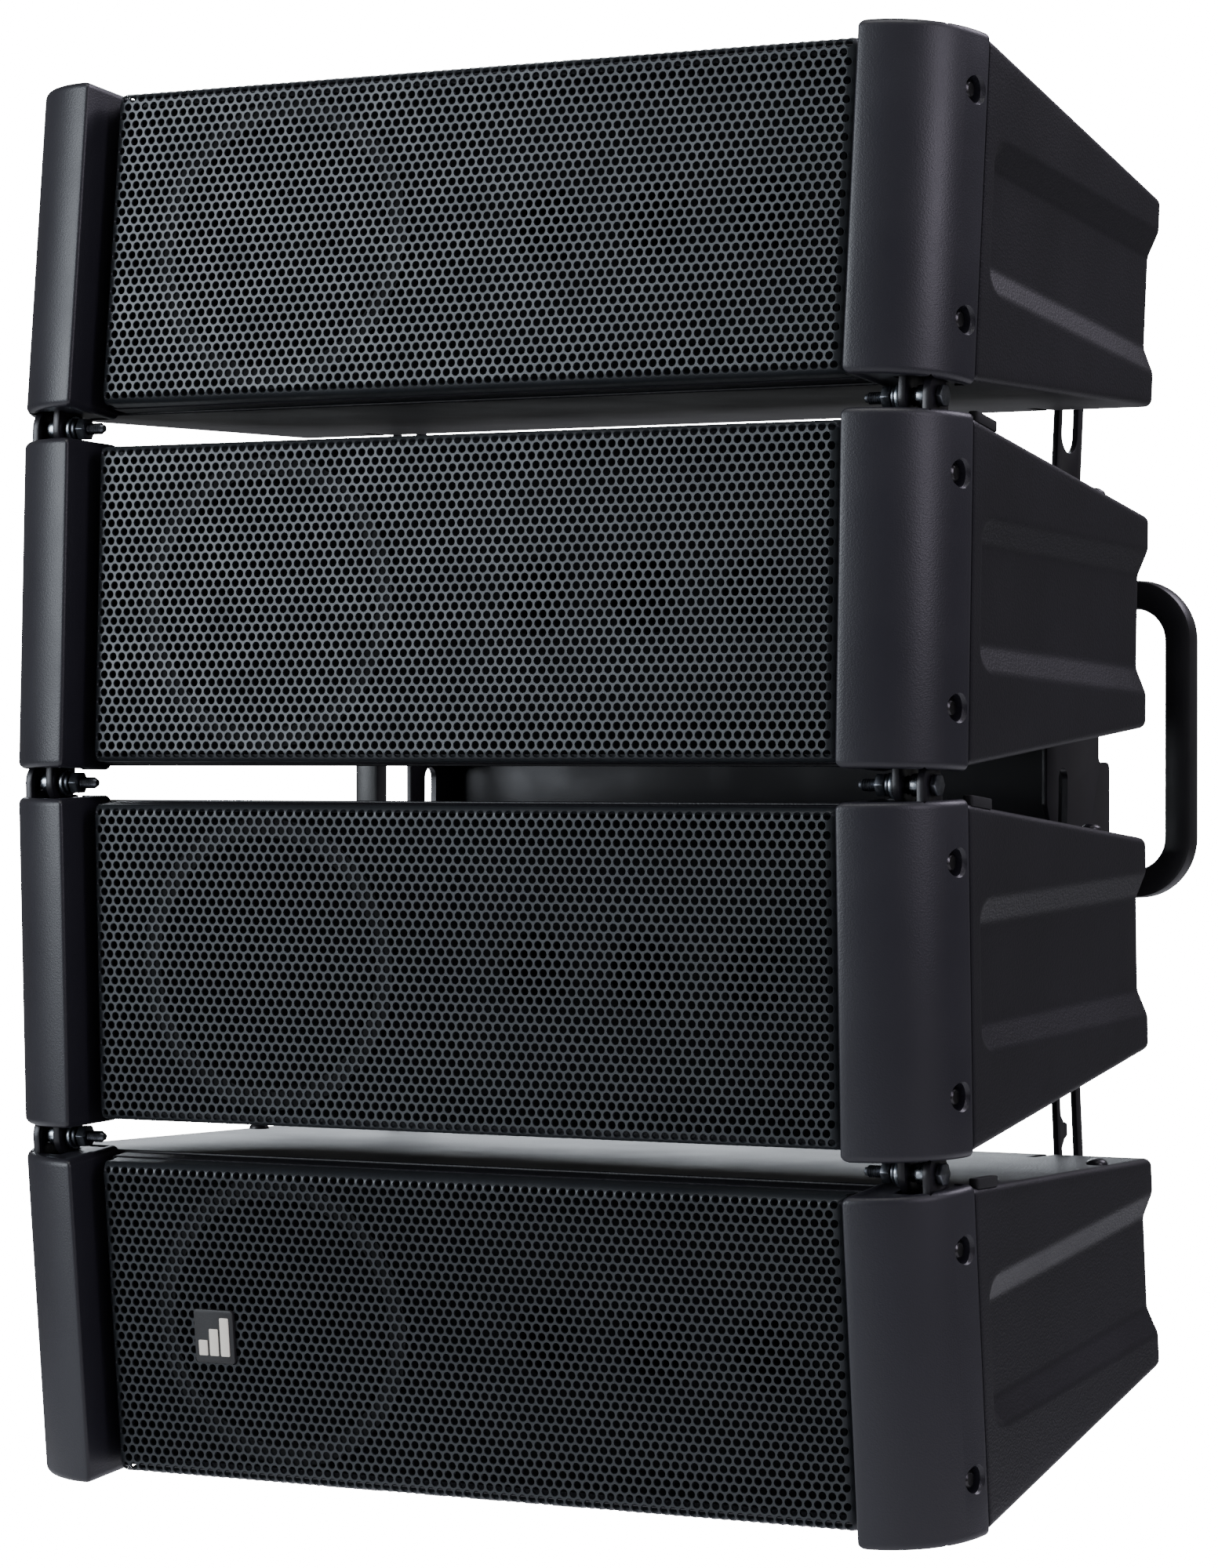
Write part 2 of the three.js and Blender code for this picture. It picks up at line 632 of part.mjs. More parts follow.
// Clamp bolt along X: a low flat head next to the plate and a nut behind the ear or fin.
function clampBoltGeometry(side, headX0, headX1, nutX0, nutX1, y, z) {
  const low = Math.min(headX0, nutX0);
  const high = Math.max(headX1, nutX1);
  const body = join(
    rodX(LINK_BOLT_R, low + 0.5, high - 0.5, y, z),
    rodX(9.2, headX0, headX1, y, z, 16),
    rodX(6.8, nutX0, nutX1, y, z, 6),
  );
  return toGeometry(sided(body, side));
}

// ---------------------------------------------------------------- input panel

function inputPanelGeometry() {
  const face = REAR_Y + GAP;
  let body = join(
    box(-PANEL_HALF_WIDTH, PANEL_HALF_WIDTH, face, face + PANEL_SHEET, -PANEL_HALF_HEIGHT, PANEL_HALF_HEIGHT),
    box(-42, 42, BOARD_Y, BOARD_Y + 2, -16, 16),
  );
  for (const x of [-38, 38]) body = join(body, rodY(2.5, 2.5, x, BOARD_Y + 1, face + 1, 0, 8));
  for (const x of [-SOCKET_X, SOCKET_X]) {
    body = join(body, rodY(SOCKET_R, SOCKET_R, x, 206, face + 6, 0, 16));
    body = cut(body, rodY(SOCKET_BORE_R, SOCKET_BORE_R, x, 210, face + 7, 0, 16));
  }
  return toGeometry(body);
}

// ---------------------------------------------------------------- assembly

function piece(name, geometry, finishName) {
  const mesh = new THREE.Mesh(geometry, new THREE.MeshStandardMaterial(FINISHES[finishName]));
  mesh.name = name;
  return mesh;
}

function moduleGroup(index) {
  const group = new THREE.Group();
  group.add(
    piece(`cabinet_${index}`, cabinetGeometry(index), 'cabinet'),
    piece(`baffle_${index}`, baffleGeometry(), 'baffle'),
    piece(`grille_${index}`, grilleGeometry(), 'grille'),
    piece(`woofer_frame_${index}`, wooferFrameGeometry(), 'basket'),
    piece(`woofer_cone_${index}`, wooferConeGeometry(), 'cone'),
    piece(`tweeter_bar_${index}`, hornGeometry(), 'horn'),
  );
  for (const [label, side] of Object.entries(SIDES)) {
    group.add(
      piece(`pillar_${label}_${index}`, pillarGeometry(side), 'pillar'),
      piece(`hinge_bracket_${label}_${index}`, hingeBracketGeometry(side, index), 'zinc'),
    );
  }
  return group;
}

// Pitch of each module at rest: positive looks up.
const pitches = Array.from({ length: MODULES }, (_, i) => ((MODULES - 1) / 2 - i) * REST_SPLAY * DEG);

function rotated(y, z, pitch) {
  return [y * Math.cos(pitch) + z * Math.sin(pitch), -y * Math.sin(pitch) + z * Math.cos(pitch)];
}

// Hinges 0..2 lie between modules 1-2, 2-3 and 3-4; the middle one is the chain's anchor.
const hinges = [];
hinges[1] = [HINGE_Y, 0];
const [stepUpY, stepUpZ] = rotated(0, HINGE_PITCH, pitches[1]);
hinges[0] = [HINGE_Y + stepUpY, stepUpZ];
const [stepDownY, stepDownZ] = rotated(0, -HINGE_PITCH, pitches[2]);
hinges[2] = [HINGE_Y + stepDownY, stepDownZ];

function moduleOrigin(i) {
  const below = i < 2;
  const [hingeY, hingeZ] = hinges[below ? i : i - 1];
  const [y, z] = rotated(HINGE_Y, below ? -HINGE_PITCH / 2 : HINGE_PITCH / 2, pitches[i]);
  return [hingeY - y, hingeZ - z];
}

const array = new THREE.Group();
const modules = [];
for (let i = 0; i < MODULES; i += 1) {
  const group = moduleGroup(i + 1);
  const [y, z] = moduleOrigin(i);
  group.position.set(0, y, z);
  group.rotation.x = -pitches[i];
  modules.push(group);
  array.add(group);
}

function onHinge(mesh, hinge, pitch) {
  const holder = new THREE.Group();
  const [y, z] = hinges[hinge];
  holder.position.set(0, y, z);
  holder.rotation.x = -pitch;
  holder.add(mesh);
  array.add(holder);
}

const drawnFromRidge = (mesh) => {
  mesh.position.y = -HINGE_Y;
  return mesh;
};

for (const [label, side] of Object.entries(SIDES)) {
  ['12', '23', '34'].forEach((pair, hinge) => {
    onHinge(piece(`hinge_bolt_${label}_${pair}`, hingeBoltGeometry(side), 'zinc'), hinge, 0);
  });
  const upperLink = piece(`link_plate_${label}_12`, linkPlateGeometry(side, false), 'plate');
  const lowerLink = piece(`link_plate_${label}_34`, linkPlateGeometry(side, true), 'plate');
  onHinge(drawnFromRidge(upperLink), 0, pitches[0]);
  onHinge(drawnFromRidge(lowerLink), 2, pitches[3]);
  onHinge(drawnFromRidge(piece(`handle_${label}`, handleGeometry(side), 'handle')), 1, 0);

  const linkHead = [LINK_X - GAP - 2.4, LINK_X - GAP];
  const linkNut = [EAR_X + EAR_WIDTH + GAP, EAR_X + EAR_WIDTH + GAP + 5.5];
  const cheekHead = [CHEEK_X + LINK_SHEET + GAP, CHEEK_X + LINK_SHEET + GAP + 2.3];
  const cheekNut = [FIN_X - GAP - 5.5, FIN_X - GAP];
  modules[1].add(piece(`clamp_bolt_${label}_12`,
    clampBoltGeometry(side, ...linkHead, ...linkNut, LINK_BOLT_Y, LINK_BOLT_Z), 'zinc'));
  modules[2].add(piece(`clamp_bolt_${label}_34`,
    clampBoltGeometry(side, ...linkHead, ...linkNut, LINK_BOLT_Y, -LINK_BOLT_Z), 'zinc'));
  modules[2].add(piece(`clamp_bolt_${label}_23`,
    clampBoltGeometry(side, ...cheekHead, ...cheekNut, CHEEK_BOLT_Y, CHEEK_BOLT_Z), 'zinc'));
}
onHinge(drawnFromRidge(piece('rear_bracket', rearBracketGeometry(), 'plate')), 1, 0);
modules[3].add(piece('input_panel', inputPanelGeometry(), 'panel'));

// The row's origin is the centre of the whole array's bounding box.
array.updateMatrixWorld(true);
const centre = new THREE.Box3().setFromObject(array, true).getCenter(new THREE.Vector3());
array.position.sub(centre);

const group = new THREE.Group();
group.add(array);

export default group;
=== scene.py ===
"""Looks of a four-module line array loudspeaker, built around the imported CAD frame.

Lengths in the mesh code are millimetres in a module's own frame: +X to the right, +Y to the
rear, +Z up, origin in the plane of the two front ridges. Each mesh is scaled to metres and
placed with its module's matrix.
"""

import json
import math

import bmesh
import bpy
import numpy as np
from mathutils import Matrix, Vector


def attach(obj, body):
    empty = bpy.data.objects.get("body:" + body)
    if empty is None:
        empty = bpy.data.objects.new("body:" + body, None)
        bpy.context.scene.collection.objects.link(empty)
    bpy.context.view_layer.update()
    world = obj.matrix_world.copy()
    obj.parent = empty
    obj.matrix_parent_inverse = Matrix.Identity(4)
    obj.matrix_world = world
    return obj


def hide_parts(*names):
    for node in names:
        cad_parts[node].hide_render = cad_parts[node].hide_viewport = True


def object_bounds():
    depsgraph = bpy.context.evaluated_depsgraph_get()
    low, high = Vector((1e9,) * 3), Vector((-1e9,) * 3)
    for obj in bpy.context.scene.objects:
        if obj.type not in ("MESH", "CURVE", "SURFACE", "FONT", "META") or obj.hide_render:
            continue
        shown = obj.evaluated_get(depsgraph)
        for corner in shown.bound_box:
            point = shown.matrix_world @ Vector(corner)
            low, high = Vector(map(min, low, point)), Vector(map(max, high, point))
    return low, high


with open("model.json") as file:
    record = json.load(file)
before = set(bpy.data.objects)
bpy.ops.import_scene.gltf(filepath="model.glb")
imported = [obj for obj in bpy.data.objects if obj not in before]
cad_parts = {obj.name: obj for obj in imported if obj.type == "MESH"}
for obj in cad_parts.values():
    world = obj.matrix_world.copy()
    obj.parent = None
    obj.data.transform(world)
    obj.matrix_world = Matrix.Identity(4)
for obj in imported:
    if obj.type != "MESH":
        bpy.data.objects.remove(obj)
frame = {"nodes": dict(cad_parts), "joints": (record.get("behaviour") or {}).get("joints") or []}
cad_box = [list(corner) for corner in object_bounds()]

# ---------------------------------------------------------------- camera

CAMERA_AZIMUTH = math.radians(28.94)
CAMERA_ELEVATION = math.radians(0.29)
CAMERA_PLACE = (0.9429, -1.7136, 0.0093)
CAMERA_LENS = 113.0

camera_data = bpy.data.cameras.new("camera")
camera_data.lens = CAMERA_LENS
camera_data.sensor_width = 36
camera = bpy.data.objects.new("camera", camera_data)
camera.location = CAMERA_PLACE
camera.rotation_euler = (math.pi / 2 - CAMERA_ELEVATION, 0, CAMERA_AZIMUTH)
bpy.context.scene.collection.objects.link(camera)
bpy.context.scene.camera = camera

# ---------------------------------------------------------------- driving dimensions

MM = 0.001
SIDES = {"right": 1, "left": -1}
REST_SPLAY = 4
PITCH = {1: 1.5 * REST_SPLAY, 2: 0.5 * REST_SPLAY, 3: -0.5 * REST_SPLAY, 4: -1.5 * REST_SPLAY}
HINGE_PITCH = 139.2
HINGE_Y = 23.5

SEAM_X, SEAM_Y = 204, 34
REAR_X, REAR_Y = 196.2, 218.3
SEAM_HALF_HEIGHT, REAR_HALF_HEIGHT = 62.7, 41.1
EDGE_ROUND = 3.0
REAR_ROUND = 5.5
SEAM_GAP = 0.5
TROUGH_HALF, TROUGH_FLOOR_HALF = 28.1, 18.1
TROUGH_DEPTH = 4.3
TROUGH_START_Y = 43.5
COLLAR = (164.5, 61.9, 24.8)       # half width, half height, front
MOUTH = (160.9, 58.4)

RIDGE_X = 167
PILLAR_HALF = 64.25
PILLAR_ROUND, RIDGE_ROUND = 2.8, 1.3
LEAVING_X, ARRIVING = 186, (202.5, 12)   # control points of the swept front
SCREW_SINK = 6.2
SCREW_Y, SCREW_Z, SCREW_R = 26, 41.9, 5

GRILLE_Y, GRILLE_FLANGE_Y = 12.1, 24.3     # the flange runs back to just short of the collar
GRILLE_HALF_WIDTH, GRILLE_HALF_HEIGHT = 161.4, 61.5
GRILLE_BEND = 3.5
GRILLE_SHEET = 1.0
HOLE_PITCH = 4.0
HOLE_R = 1.55

LUG_R = 8
HINGE_NUT_X, HINGE_HEAD_X = (173.4, 177.2), (195.4, 197.8)
SPRING_X, WASHER_X, SPACER_X = 177.8, 179.6, 186.8
LOWER_LUG_X, UPPER_LUG_X, LUG_SHEET = 182.3, 192, 3
LINK_X, LINK_SHEET = 152.2, 2.5
LINK_FRONT_Y, LINK_WIDTH, LINK_HALF_LENGTH = 219.5, 24, 62
SLOT_Y, SLOT_WIDTH, SLOT_END = 230.8, 15.2, 59.4
BRIDGE = (5, 13.7)
GROOVE_FLOOR_Y, GROOVE_AIR, FOOT_SHEET = 195, 0.9, 2.2
EAR_X, EAR_WIDTH, EAR_REAR_Y, EAR_HALF_HEIGHT = 155, 5, 240, 32
LINK_BOLT_Y, LINK_BOLT_Z, LINK_BOLT_R = 227.5, 17, 4
CHEEK_X, CHEEK_BOLT_Y, CHEEK_BOLT_Z = 146.3, 239, 24.5
FIN_X, FIN_REAR_Y, FIN_LOW_Z, FIN_HIGH_Z = 139, 249, 7, 37
SPLAY_MAX = 14
WEB_Y, WEB_LOW_Z, WEB_HIGH_Z = 262, -30, 40
HANDLE_FRONT_Y, HANDLE_DEPTH, HANDLE_BAR = 262, 9, 11.6
HANDLE_OUT_X, HANDLE_TOP_Z, HANDLE_BOTTOM_Z, HANDLE_CORNER_R = 196, 81, -46.5, 24.5
PANEL_HALF = (52, 24)
MARK_PLACE = (-111.5, -4.5)
SOCKET_X, SOCKET_R = 22, 12.5

# ---------------------------------------------------------------- places of the modules

hinges = {joint["name"]: Vector(joint["pos_m"]) for joint in frame["joints"] if joint["type"] == "hinge"}


def tilted(place, pitch):
    """Frame at a place in metres whose front looks up by the pitch, in degrees."""
    return Matrix.Translation(place) @ Matrix.Rotation(-math.radians(pitch), 4, "X")


def module_frame(number):
    """Frame of a module, hung from or standing on the hinge that faces the array's middle."""
    hinge = hinges[{1: "splay_12", 2: "splay_23", 3: "splay_23", 4: "splay_34"}[number]]
    half = HINGE_PITCH / 2 if number > 2 else -HINGE_PITCH / 2
    return tilted(hinge, PITCH[number]) @ Matrix.Translation((0, -HINGE_Y * MM, -half * MM))


def hinge_frame(name, pitch):
    """Frame with its origin on the ridge line beside a hinge."""
    return tilted(hinges[name], pitch) @ Matrix.Translation((0, -HINGE_Y * MM, 0))


modules = {number: module_frame(number) for number in PITCH}

# ---------------------------------------------------------------- materials


def node_material(name, settings):
    """A Principled material and its node helpers."""
    material = bpy.data.materials.new(name)
    material.use_nodes = True
    nodes = material.node_tree.nodes
    shader = nodes["Principled BSDF"]
    for socket, value in settings.items():
        shader.inputs[socket].default_value = value
    place = nodes.new("ShaderNodeTexCoord")
    return material, nodes, material.node_tree.links, shader, place.outputs["Object"]


def noise(nodes, links, place, scale, detail=3.0, roughness=0.5):
    node = nodes.new("ShaderNodeTexNoise")
    node.inputs["Scale"].default_value = scale
    node.inputs["Detail"].default_value = detail
    node.inputs["Roughness"].default_value = roughness
    links.new(place, node.inputs["Vector"])
    return node.outputs["Fac"]


def ramp(nodes, links, factor, low, high):
    """Colour or grey between two stops; each stop is (position, value)."""
    node = nodes.new("ShaderNodeValToRGB")
    for element, (position, value) in zip(node.color_ramp.elements, (low, high)):
        element.position = position
        element.color = (*value, 1) if isinstance(value, tuple) else (value, value, value, 1)
    links.new(factor, node.inputs["Fac"])
    return node.outputs["Color"]


def bump(nodes, links, height, depth, strength, onto=None):
    node = nodes.new("ShaderNodeBump")
    node.inputs["Distance"].default_value = depth
    node.inputs["Strength"].default_value = strength
    links.new(height, node.inputs["Height"])
    if onto is not None:
        links.new(onto, node.inputs["Normal"])
    return node.outputs["Normal"]


def moulded_plastic(name, dark, light, rough, grain, depth, specular=0.5):
    """Near-black moulded plastic: leather-like cells, fine noise, slow tone and gloss changes."""
    material, nodes, links, shader, place = node_material(name, {"Specular IOR Level": specular})
    tone = noise(nodes, links, place, 9, 4)
    links.new(ramp(nodes, links, tone, (0.3, dark), (0.72, light)), shader.inputs["Base Color"])
    worn = noise(nodes, links, place, 22, 5)
    links.new(
        ramp(nodes, links, worn, (0.3, rough - 0.05), (0.75, rough + 0.06)), shader.inputs["Roughness"],
    )
    cells = nodes.new("ShaderNodeTexVoronoi")
    cells.feature = "SMOOTH_F1"
    cells.inputs["Scale"].default_value = grain
    cells.inputs["Randomness"].default_value = 1
    links.new(place, cells.inputs["Vector"])
    coarse = bump(nodes, links, cells.outputs["Distance"], depth, 0.55)
    fine = bump(nodes, links, noise(nodes, links, place, grain * 2.3, 2), depth * 0.5, 0.4, coarse)
    links.new(fine, shader.inputs["Normal"])
    return material


def powder_coat(name, dark, light, rough, metallic=0.0, grain=2600, depth=0.00006):
    """Thin powder coat on steel: slight orange peel and soft gloss changes."""
    material, nodes, links, shader, place = node_material(name, {"Metallic": metallic})
    tone = noise(nodes, links, place, 14, 4)
    links.new(ramp(nodes, links, tone, (0.3, dark), (0.7, light)), shader.inputs["Base Color"])
    gloss = noise(nodes, links, place, 60, 4)
    links.new(
        ramp(nodes, links, gloss, (0.3, rough - 0.05), (0.75, rough + 0.07)),
        shader.inputs["Roughness"],
    )
    links.new(
        bump(nodes, links, noise(nodes, links, place, grain, 2), depth, 0.4), shader.inputs["Normal"],
    )
    return material


def bare_metal(name, dark, light, rough):
    """Plated steel with fine drawn lines and a slightly cloudy gloss."""
    material, nodes, links, shader, place = node_material(name, {"Metallic": 1.0})
    tone = noise(nodes, links, place, 350, 5)
    links.new(ramp(nodes, links, tone, (0.35, dark), (0.65, light)), shader.inputs["Base Color"])
    gloss = noise(nodes, links, place, 900, 4)
    links.new(
        ramp(nodes, links, gloss, (0.3, rough - 0.07), (0.7, rough + 0.08)), shader.inputs["Roughness"],
    )
    links.new(
        bump(nodes, links, noise(nodes, links, place, 5000, 2), 0.00002, 0.35), shader.inputs["Normal"],
    )
    return material


CABINET = moulded_plastic(
    "cabinet_plastic", (0.0055, 0.005, 0.0075), (0.008, 0.0074, 0.0108), 0.47, 1150, 0.00022, 0.34,
)
PILLAR = moulded_plastic(
    "pillar_plastic", (0.013, 0.0125, 0.0175), (0.017, 0.0165, 0.0225), 0.42, 1700, 0.00009,
)
GRILLE = powder_coat("grille_paint", (0.022, 0.025, 0.029), (0.031, 0.035, 0.039), 0.38, 0.35)
PLATE = powder_coat("black_steel", (0.011, 0.010, 0.013), (0.017, 0.016, 0.020), 0.36, 0.2)
HANDLE = powder_coat(
    "handle_coat", (0.006, 0.006, 0.007), (0.010, 0.010, 0.011), 0.42, 0.0, 1800, 0.0001,
)
ZINC = bare_metal("zinc", (0.46, 0.53, 0.60), (0.72, 0.77, 0.82), 0.3)
BLACK_STEEL = bare_metal("black_oxide", (0.035, 0.034, 0.036), (0.07, 0.068, 0.07), 0.34)
BAFFLE = moulded_plastic(
    "baffle_board", (0.002, 0.002, 0.0025), (0.0035, 0.0035, 0.004), 0.8, 900, 0.0001, 0.1,
)
CONE = moulded_plastic(
    "cone_paper", (0.002, 0.002, 0.0025), (0.0035, 0.0035, 0.004), 0.85, 1400, 0.00012, 0.1,
)
HORN = moulded_plastic(
    "horn_plastic", (0.002, 0.002, 0.0025), (0.0035, 0.0035, 0.004), 0.7, 1500, 0.00005, 0.12,
)
BASKET = powder_coat("basket_coat", (0.002, 0.002, 0.0025), (0.0035, 0.0035, 0.004), 0.8)
RUBBER = moulded_plastic("rubber", (0.006, 0.006, 0.007), (0.011, 0.011, 0.012), 0.7, 1600, 0.0001, 0.3)
PANEL = moulded_plastic(
    "panel_plastic", (0.010, 0.010, 0.011), (0.016, 0.016, 0.017), 0.5, 1500, 0.00008,
)
# Darker copy of the zinc, which is painted shade: the hinge bolt's rod, shank, nut, spring washer and head are
# coloured dim as if shaded in the gap between modules, while the flat washer and spacer keep the bright zinc.
SHADED_ZINC = bare_metal("zinc_painted_shade", (0.10, 0.11, 0.125), (0.19, 0.20, 0.22), 0.36)
MARK = powder_coat("mark_inlay", (0.78, 0.72, 0.62), (0.88, 0.82, 0.72), 0.4)

# ---------------------------------------------------------------- meshes


class Shape:
    """Vertices in millimetres and faces, joined from several parts."""

    def __init__(self):
        self.verts = []
        self.faces = []
        self.slots = []

    def add(self, verts, faces, slot=0):
        start = len(self.verts)
        self.verts.extend(tuple(float(c) for c in v) for v in verts)
        self.faces.extend(tuple(start + i for i in face) for face in faces)
        self.slots.extend([slot] * len(faces))
        return self

    def join(self, other, slot=None):
        start = len(self.verts)
        self.verts.extend(other.verts)
        self.faces.extend(tuple(start + i for i in face) for face in other.faces)
        self.slots.extend(other.slots if slot is None else [slot] * len(other.faces))
        return self

    def moved(self, change):
        """The same shape with each vertex passed through a function of (x, y, z)."""
        self.verts = [tuple(change(*v)) for v in self.verts]
        return self

    def mirrored(self):
        """Mirror image in X, with the faces turned to point out again."""
        twin = Shape()
        twin.verts = [(-x, y, z) for x, y, z in self.verts]
        twin.faces = [tuple(reversed(face)) for face in self.faces]
        twin.slots = list(self.slots)
        return twin

    def mesh(self, name, materials, sharp=35):
        mesh = bpy.data.meshes.new(name)
        mesh.from_pydata([(x * MM, y * MM, z * MM) for x, y, z in self.verts], [], self.faces)
        for material in materials:
            mesh.materials.append(material)
        mesh.polygons.foreach_set("material_index", self.slots)
        mesh.update()
        clean = bmesh.new()
        clean.from_mesh(mesh)
        bmesh.ops.recalc_face_normals(clean, faces=clean.faces)
        clean.to_mesh(mesh)
        clean.free()
        mesh.shade_smooth()
        mesh.set_sharp_from_angle(angle=math.radians(sharp))
        return mesh


def place(name, mesh, matrix, body, slot, *nodes):
    """Puts a mesh in the scene on its CAD body, in place of the named CAD nodes."""
    obj = bpy.data.objects.new(name, mesh)
    bpy.context.scene.collection.objects.link(obj)
    obj.matrix_world = matrix
    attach(obj, body)
    if nodes:
        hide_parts(*nodes)
    return obj


def sided(shape, side):
    return shape if side > 0 else shape.mirrored()


def loft(rings, close_first=True, close_last=True):
    """Closed rings of equal length joined by quads, with a flat face on each end."""
    count = len(rings[0])
    shape = Shape()
    verts = [point for ring in rings for point in ring]
    faces = []
    for level in range(len(rings) - 1):
        low, high = level * count, (level + 1) * count
        for i in range(count):
            j = (i + 1) % count
            faces.append((low + i, low + j, high + j, high + i))
    if close_first:
        faces.append(tuple(reversed(range(count))))
    if close_last:
        last = (len(rings) - 1) * count
        faces.append(tuple(range(last, last + count)))
    return shape.add(verts, faces)


def rounded(points, radius, steps=8):
    """Polygon with each corner filleted. radius is one number or one for each corner."""
    radii = radius if isinstance(radius, (list, tuple)) else [radius] * len(points)
    made = []
    for i, corner in enumerate(points):
        corner = np.array(corner, float)
        before = np.array(points[i - 1], float) - corner
        after = np.array(points[(i + 1) % len(points)], float) - corner
        if radii[i] <= 0:
            made.append(tuple(corner))
            continue
        before /= np.linalg.norm(before)
        after /= np.linalg.norm(after)
        half = math.acos(np.clip(before @ after, -1, 1)) / 2
        reach = radii[i] / math.tan(half)
        middle = corner + (before + after) / np.linalg.norm(before + after) * radii[i] / math.sin(half)
        start = corner + before * reach - middle
        end = corner + after * reach - middle
        turn = math.atan2(start[0] * end[1] - start[1] * end[0], start @ end)
        for k in range(steps + 1):
            angle = turn * k / steps
            c, s = math.cos(angle), math.sin(angle)
            made.append(
                (middle[0] + start[0] * c - start[1] * s, middle[1] + start[0] * s + start[1] * c)
            )
    return made


def ring_points(a, b, radius, steps=24):
    """Circle about (a, b), counter-clockwise."""
    angles = [2 * math.pi * k / steps for k in range(steps)]
    return [(a + radius * math.cos(t), b + radius * math.sin(t)) for t in angles]


def hexagon(a, b, radius):
    return ring_points(a, b, radius, 6)


def slot_points(a, low, high, width):
    half = width / 2 - 0.01
    corners = [(a - half, low), (a + half, low), (a + half, high), (a - half, high)]
    return rounded(corners, half - 0.01, 10)


def area_of(points):
    x, y = np.array(points, float).T
    return 0.5 * float(np.sum(x * np.roll(y, -1) - np.roll(x, -1) * y))


def inset(points, distance):
    """Outline moved to its left, which is into the material."""
    p = np.array(points, float)
    forward = np.roll(p, -1, 0) - p
    forward /= np.linalg.norm(forward, axis=1)[:, None]
    left = np.stack([-forward[:, 1], forward[:, 0]], 1)
    before = np.roll(left, 1, 0)
    joint = before + left
    scale = 1 + np.sum(before * left, 1)
    return [tuple(q) for q in p + distance * joint / np.maximum(scale, 0.3)[:, None]]


def plate(outer, holes, low, high, bevel=0.4):
    """Flat plate from an outline with holes, between two heights, with rounded edges.
    The outline's coordinates become x and y, and the heights z."""
    outlines = [outer if area_of(outer) > 0 else outer[::-1]]
    outlines += [hole if area_of(hole) < 0 else hole[::-1] for hole in holes]
    shape = Shape()
    levels = [(low, bevel), (low + 0.3 * bevel, 0.3 * bevel), (low + bevel, 0)]
    levels += [(high - bevel, 0), (high - 0.3 * bevel, 0.3 * bevel), (high, bevel)]
    caps = {low: [], high: []}
    for points in outlines:
        rings = [[(x, y, z) for x, y in inset(points, amount)] for z, amount in levels]
        shape.join(loft(rings, False, False))
        caps[low].append(rings[0])
        caps[high].append(rings[-1])
    for rings in caps.values():
        filler = bmesh.new()
        for ring in rings:
            verts = [filler.verts.new(point) for point in ring]
            for i, vert in enumerate(verts):
                filler.edges.new((vert, verts[(i + 1) % len(verts)]))
        bmesh.ops.triangle_fill(filler, edges=filler.edges[:], use_beauty=True)
        filler.verts.index_update()
        shape.add([v.co for v in filler.verts], [[v.index for v in face.verts] for face in filler.faces])
        filler.free()
    return merged(shape)


def merged(shape, distance=0.001):
    """The same shape with coinciding vertices joined."""
    work = bmesh.new()
    verts = [work.verts.new(v) for v in shape.verts]
    for face, slot in zip(shape.faces, shape.slots):
        try:
            made = work.faces.new([verts[i] for i in face])
        except ValueError:
            continue
        made.material_index = slot
    bmesh.ops.remove_doubles(work, verts=work.verts[:], dist=distance)
    work.verts.index_update()
    done = Shape()
    done.verts = [tuple(v.co) for v in work.verts]
    done.faces = [tuple(v.index for v in face.verts) for face in work.faces]
    done.slots = [face.material_index for face in work.faces]
    work.free()
    return done


def along_x(shape):
    """A plate drawn in (y, z) with its height along X."""
    return shape.moved(lambda a, b, h: (h, a, b))


def along_y(shape):
    """A plate drawn in (x, z) with its height along Y."""
    return shape.moved(lambda a, b, h: (a, h, b))


def turned(profile, segments=32):
    """Profile of (radius, height) pairs turned about Z."""
    rings = []
    for radius, height in profile:
        angles = [2 * math.pi * k / segments for k in range(segments)]
        r = max(radius, 0.0005)
        rings.append([(r * math.cos(t), r * math.sin(t), height) for t in angles])
    return merged(loft(rings), 0.002)


def block(x0, x1, y0, y1, z0, z1, bevel=0.4):
    corners = [(x0, y0), (x1, y0), (x1, y1), (x0, y1)]
    return plate(corners, [], z0, z1, bevel)


def cut(mesh, *tools):
    """Boolean difference of a mesh and closed shapes, kept as a plain mesh."""
    obj = bpy.data.objects.new("cut", mesh)
    bpy.context.scene.collection.objects.link(obj)
    helpers = []
    for tool in tools:
        helper = bpy.data.objects.new("tool", tool.mesh("tool", []))
        bpy.context.scene.collection.objects.link(helper)
        modifier = obj.modifiers.new("cut", "BOOLEAN")
        modifier.operation = "DIFFERENCE"
        modifier.solver = "MANIFOLD"
        modifier.object = helper
        helpers.append(helper)
    graph = bpy.context.evaluated_depsgraph_get()
    result = bpy.data.meshes.new_from_object(obj.evaluated_get(graph))
    for item in (obj, *helpers):
        bpy.data.objects.remove(item)
    return result


def to_shape(mesh):
    shape = Shape()
    shape.verts = [tuple(c / MM for c in v.co) for v in mesh.vertices]
    shape.faces = [tuple(p.vertices) for p in mesh.polygons]
    shape.slots = [p.material_index for p in mesh.polygons]
    return shape


# ---------------------------------------------------------------- cabinet

TAPER = (SEAM_HALF_HEIGHT - REAR_HALF_HEIGHT) / (REAR_Y - SEAM_Y)
DRAFT = (SEAM_X - REAR_X) / (REAR_Y - SEAM_Y)


def half_height(y):
    return SEAM_HALF_HEIGHT - TAPER * (y - SEAM_Y)


def half_width(y):
    return SEAM_X - DRAFT * (y - SEAM_Y)


def soft_step(t, ease=0.14):
    """Straight ramp from 0 to 1 with rounded ends."""

    def bend(x):
        if x <= -ease:
            return 0.0
        return x if x >= ease else (x + ease) ** 2 / (4 * ease)

    return bend(t) - bend(t - 1)


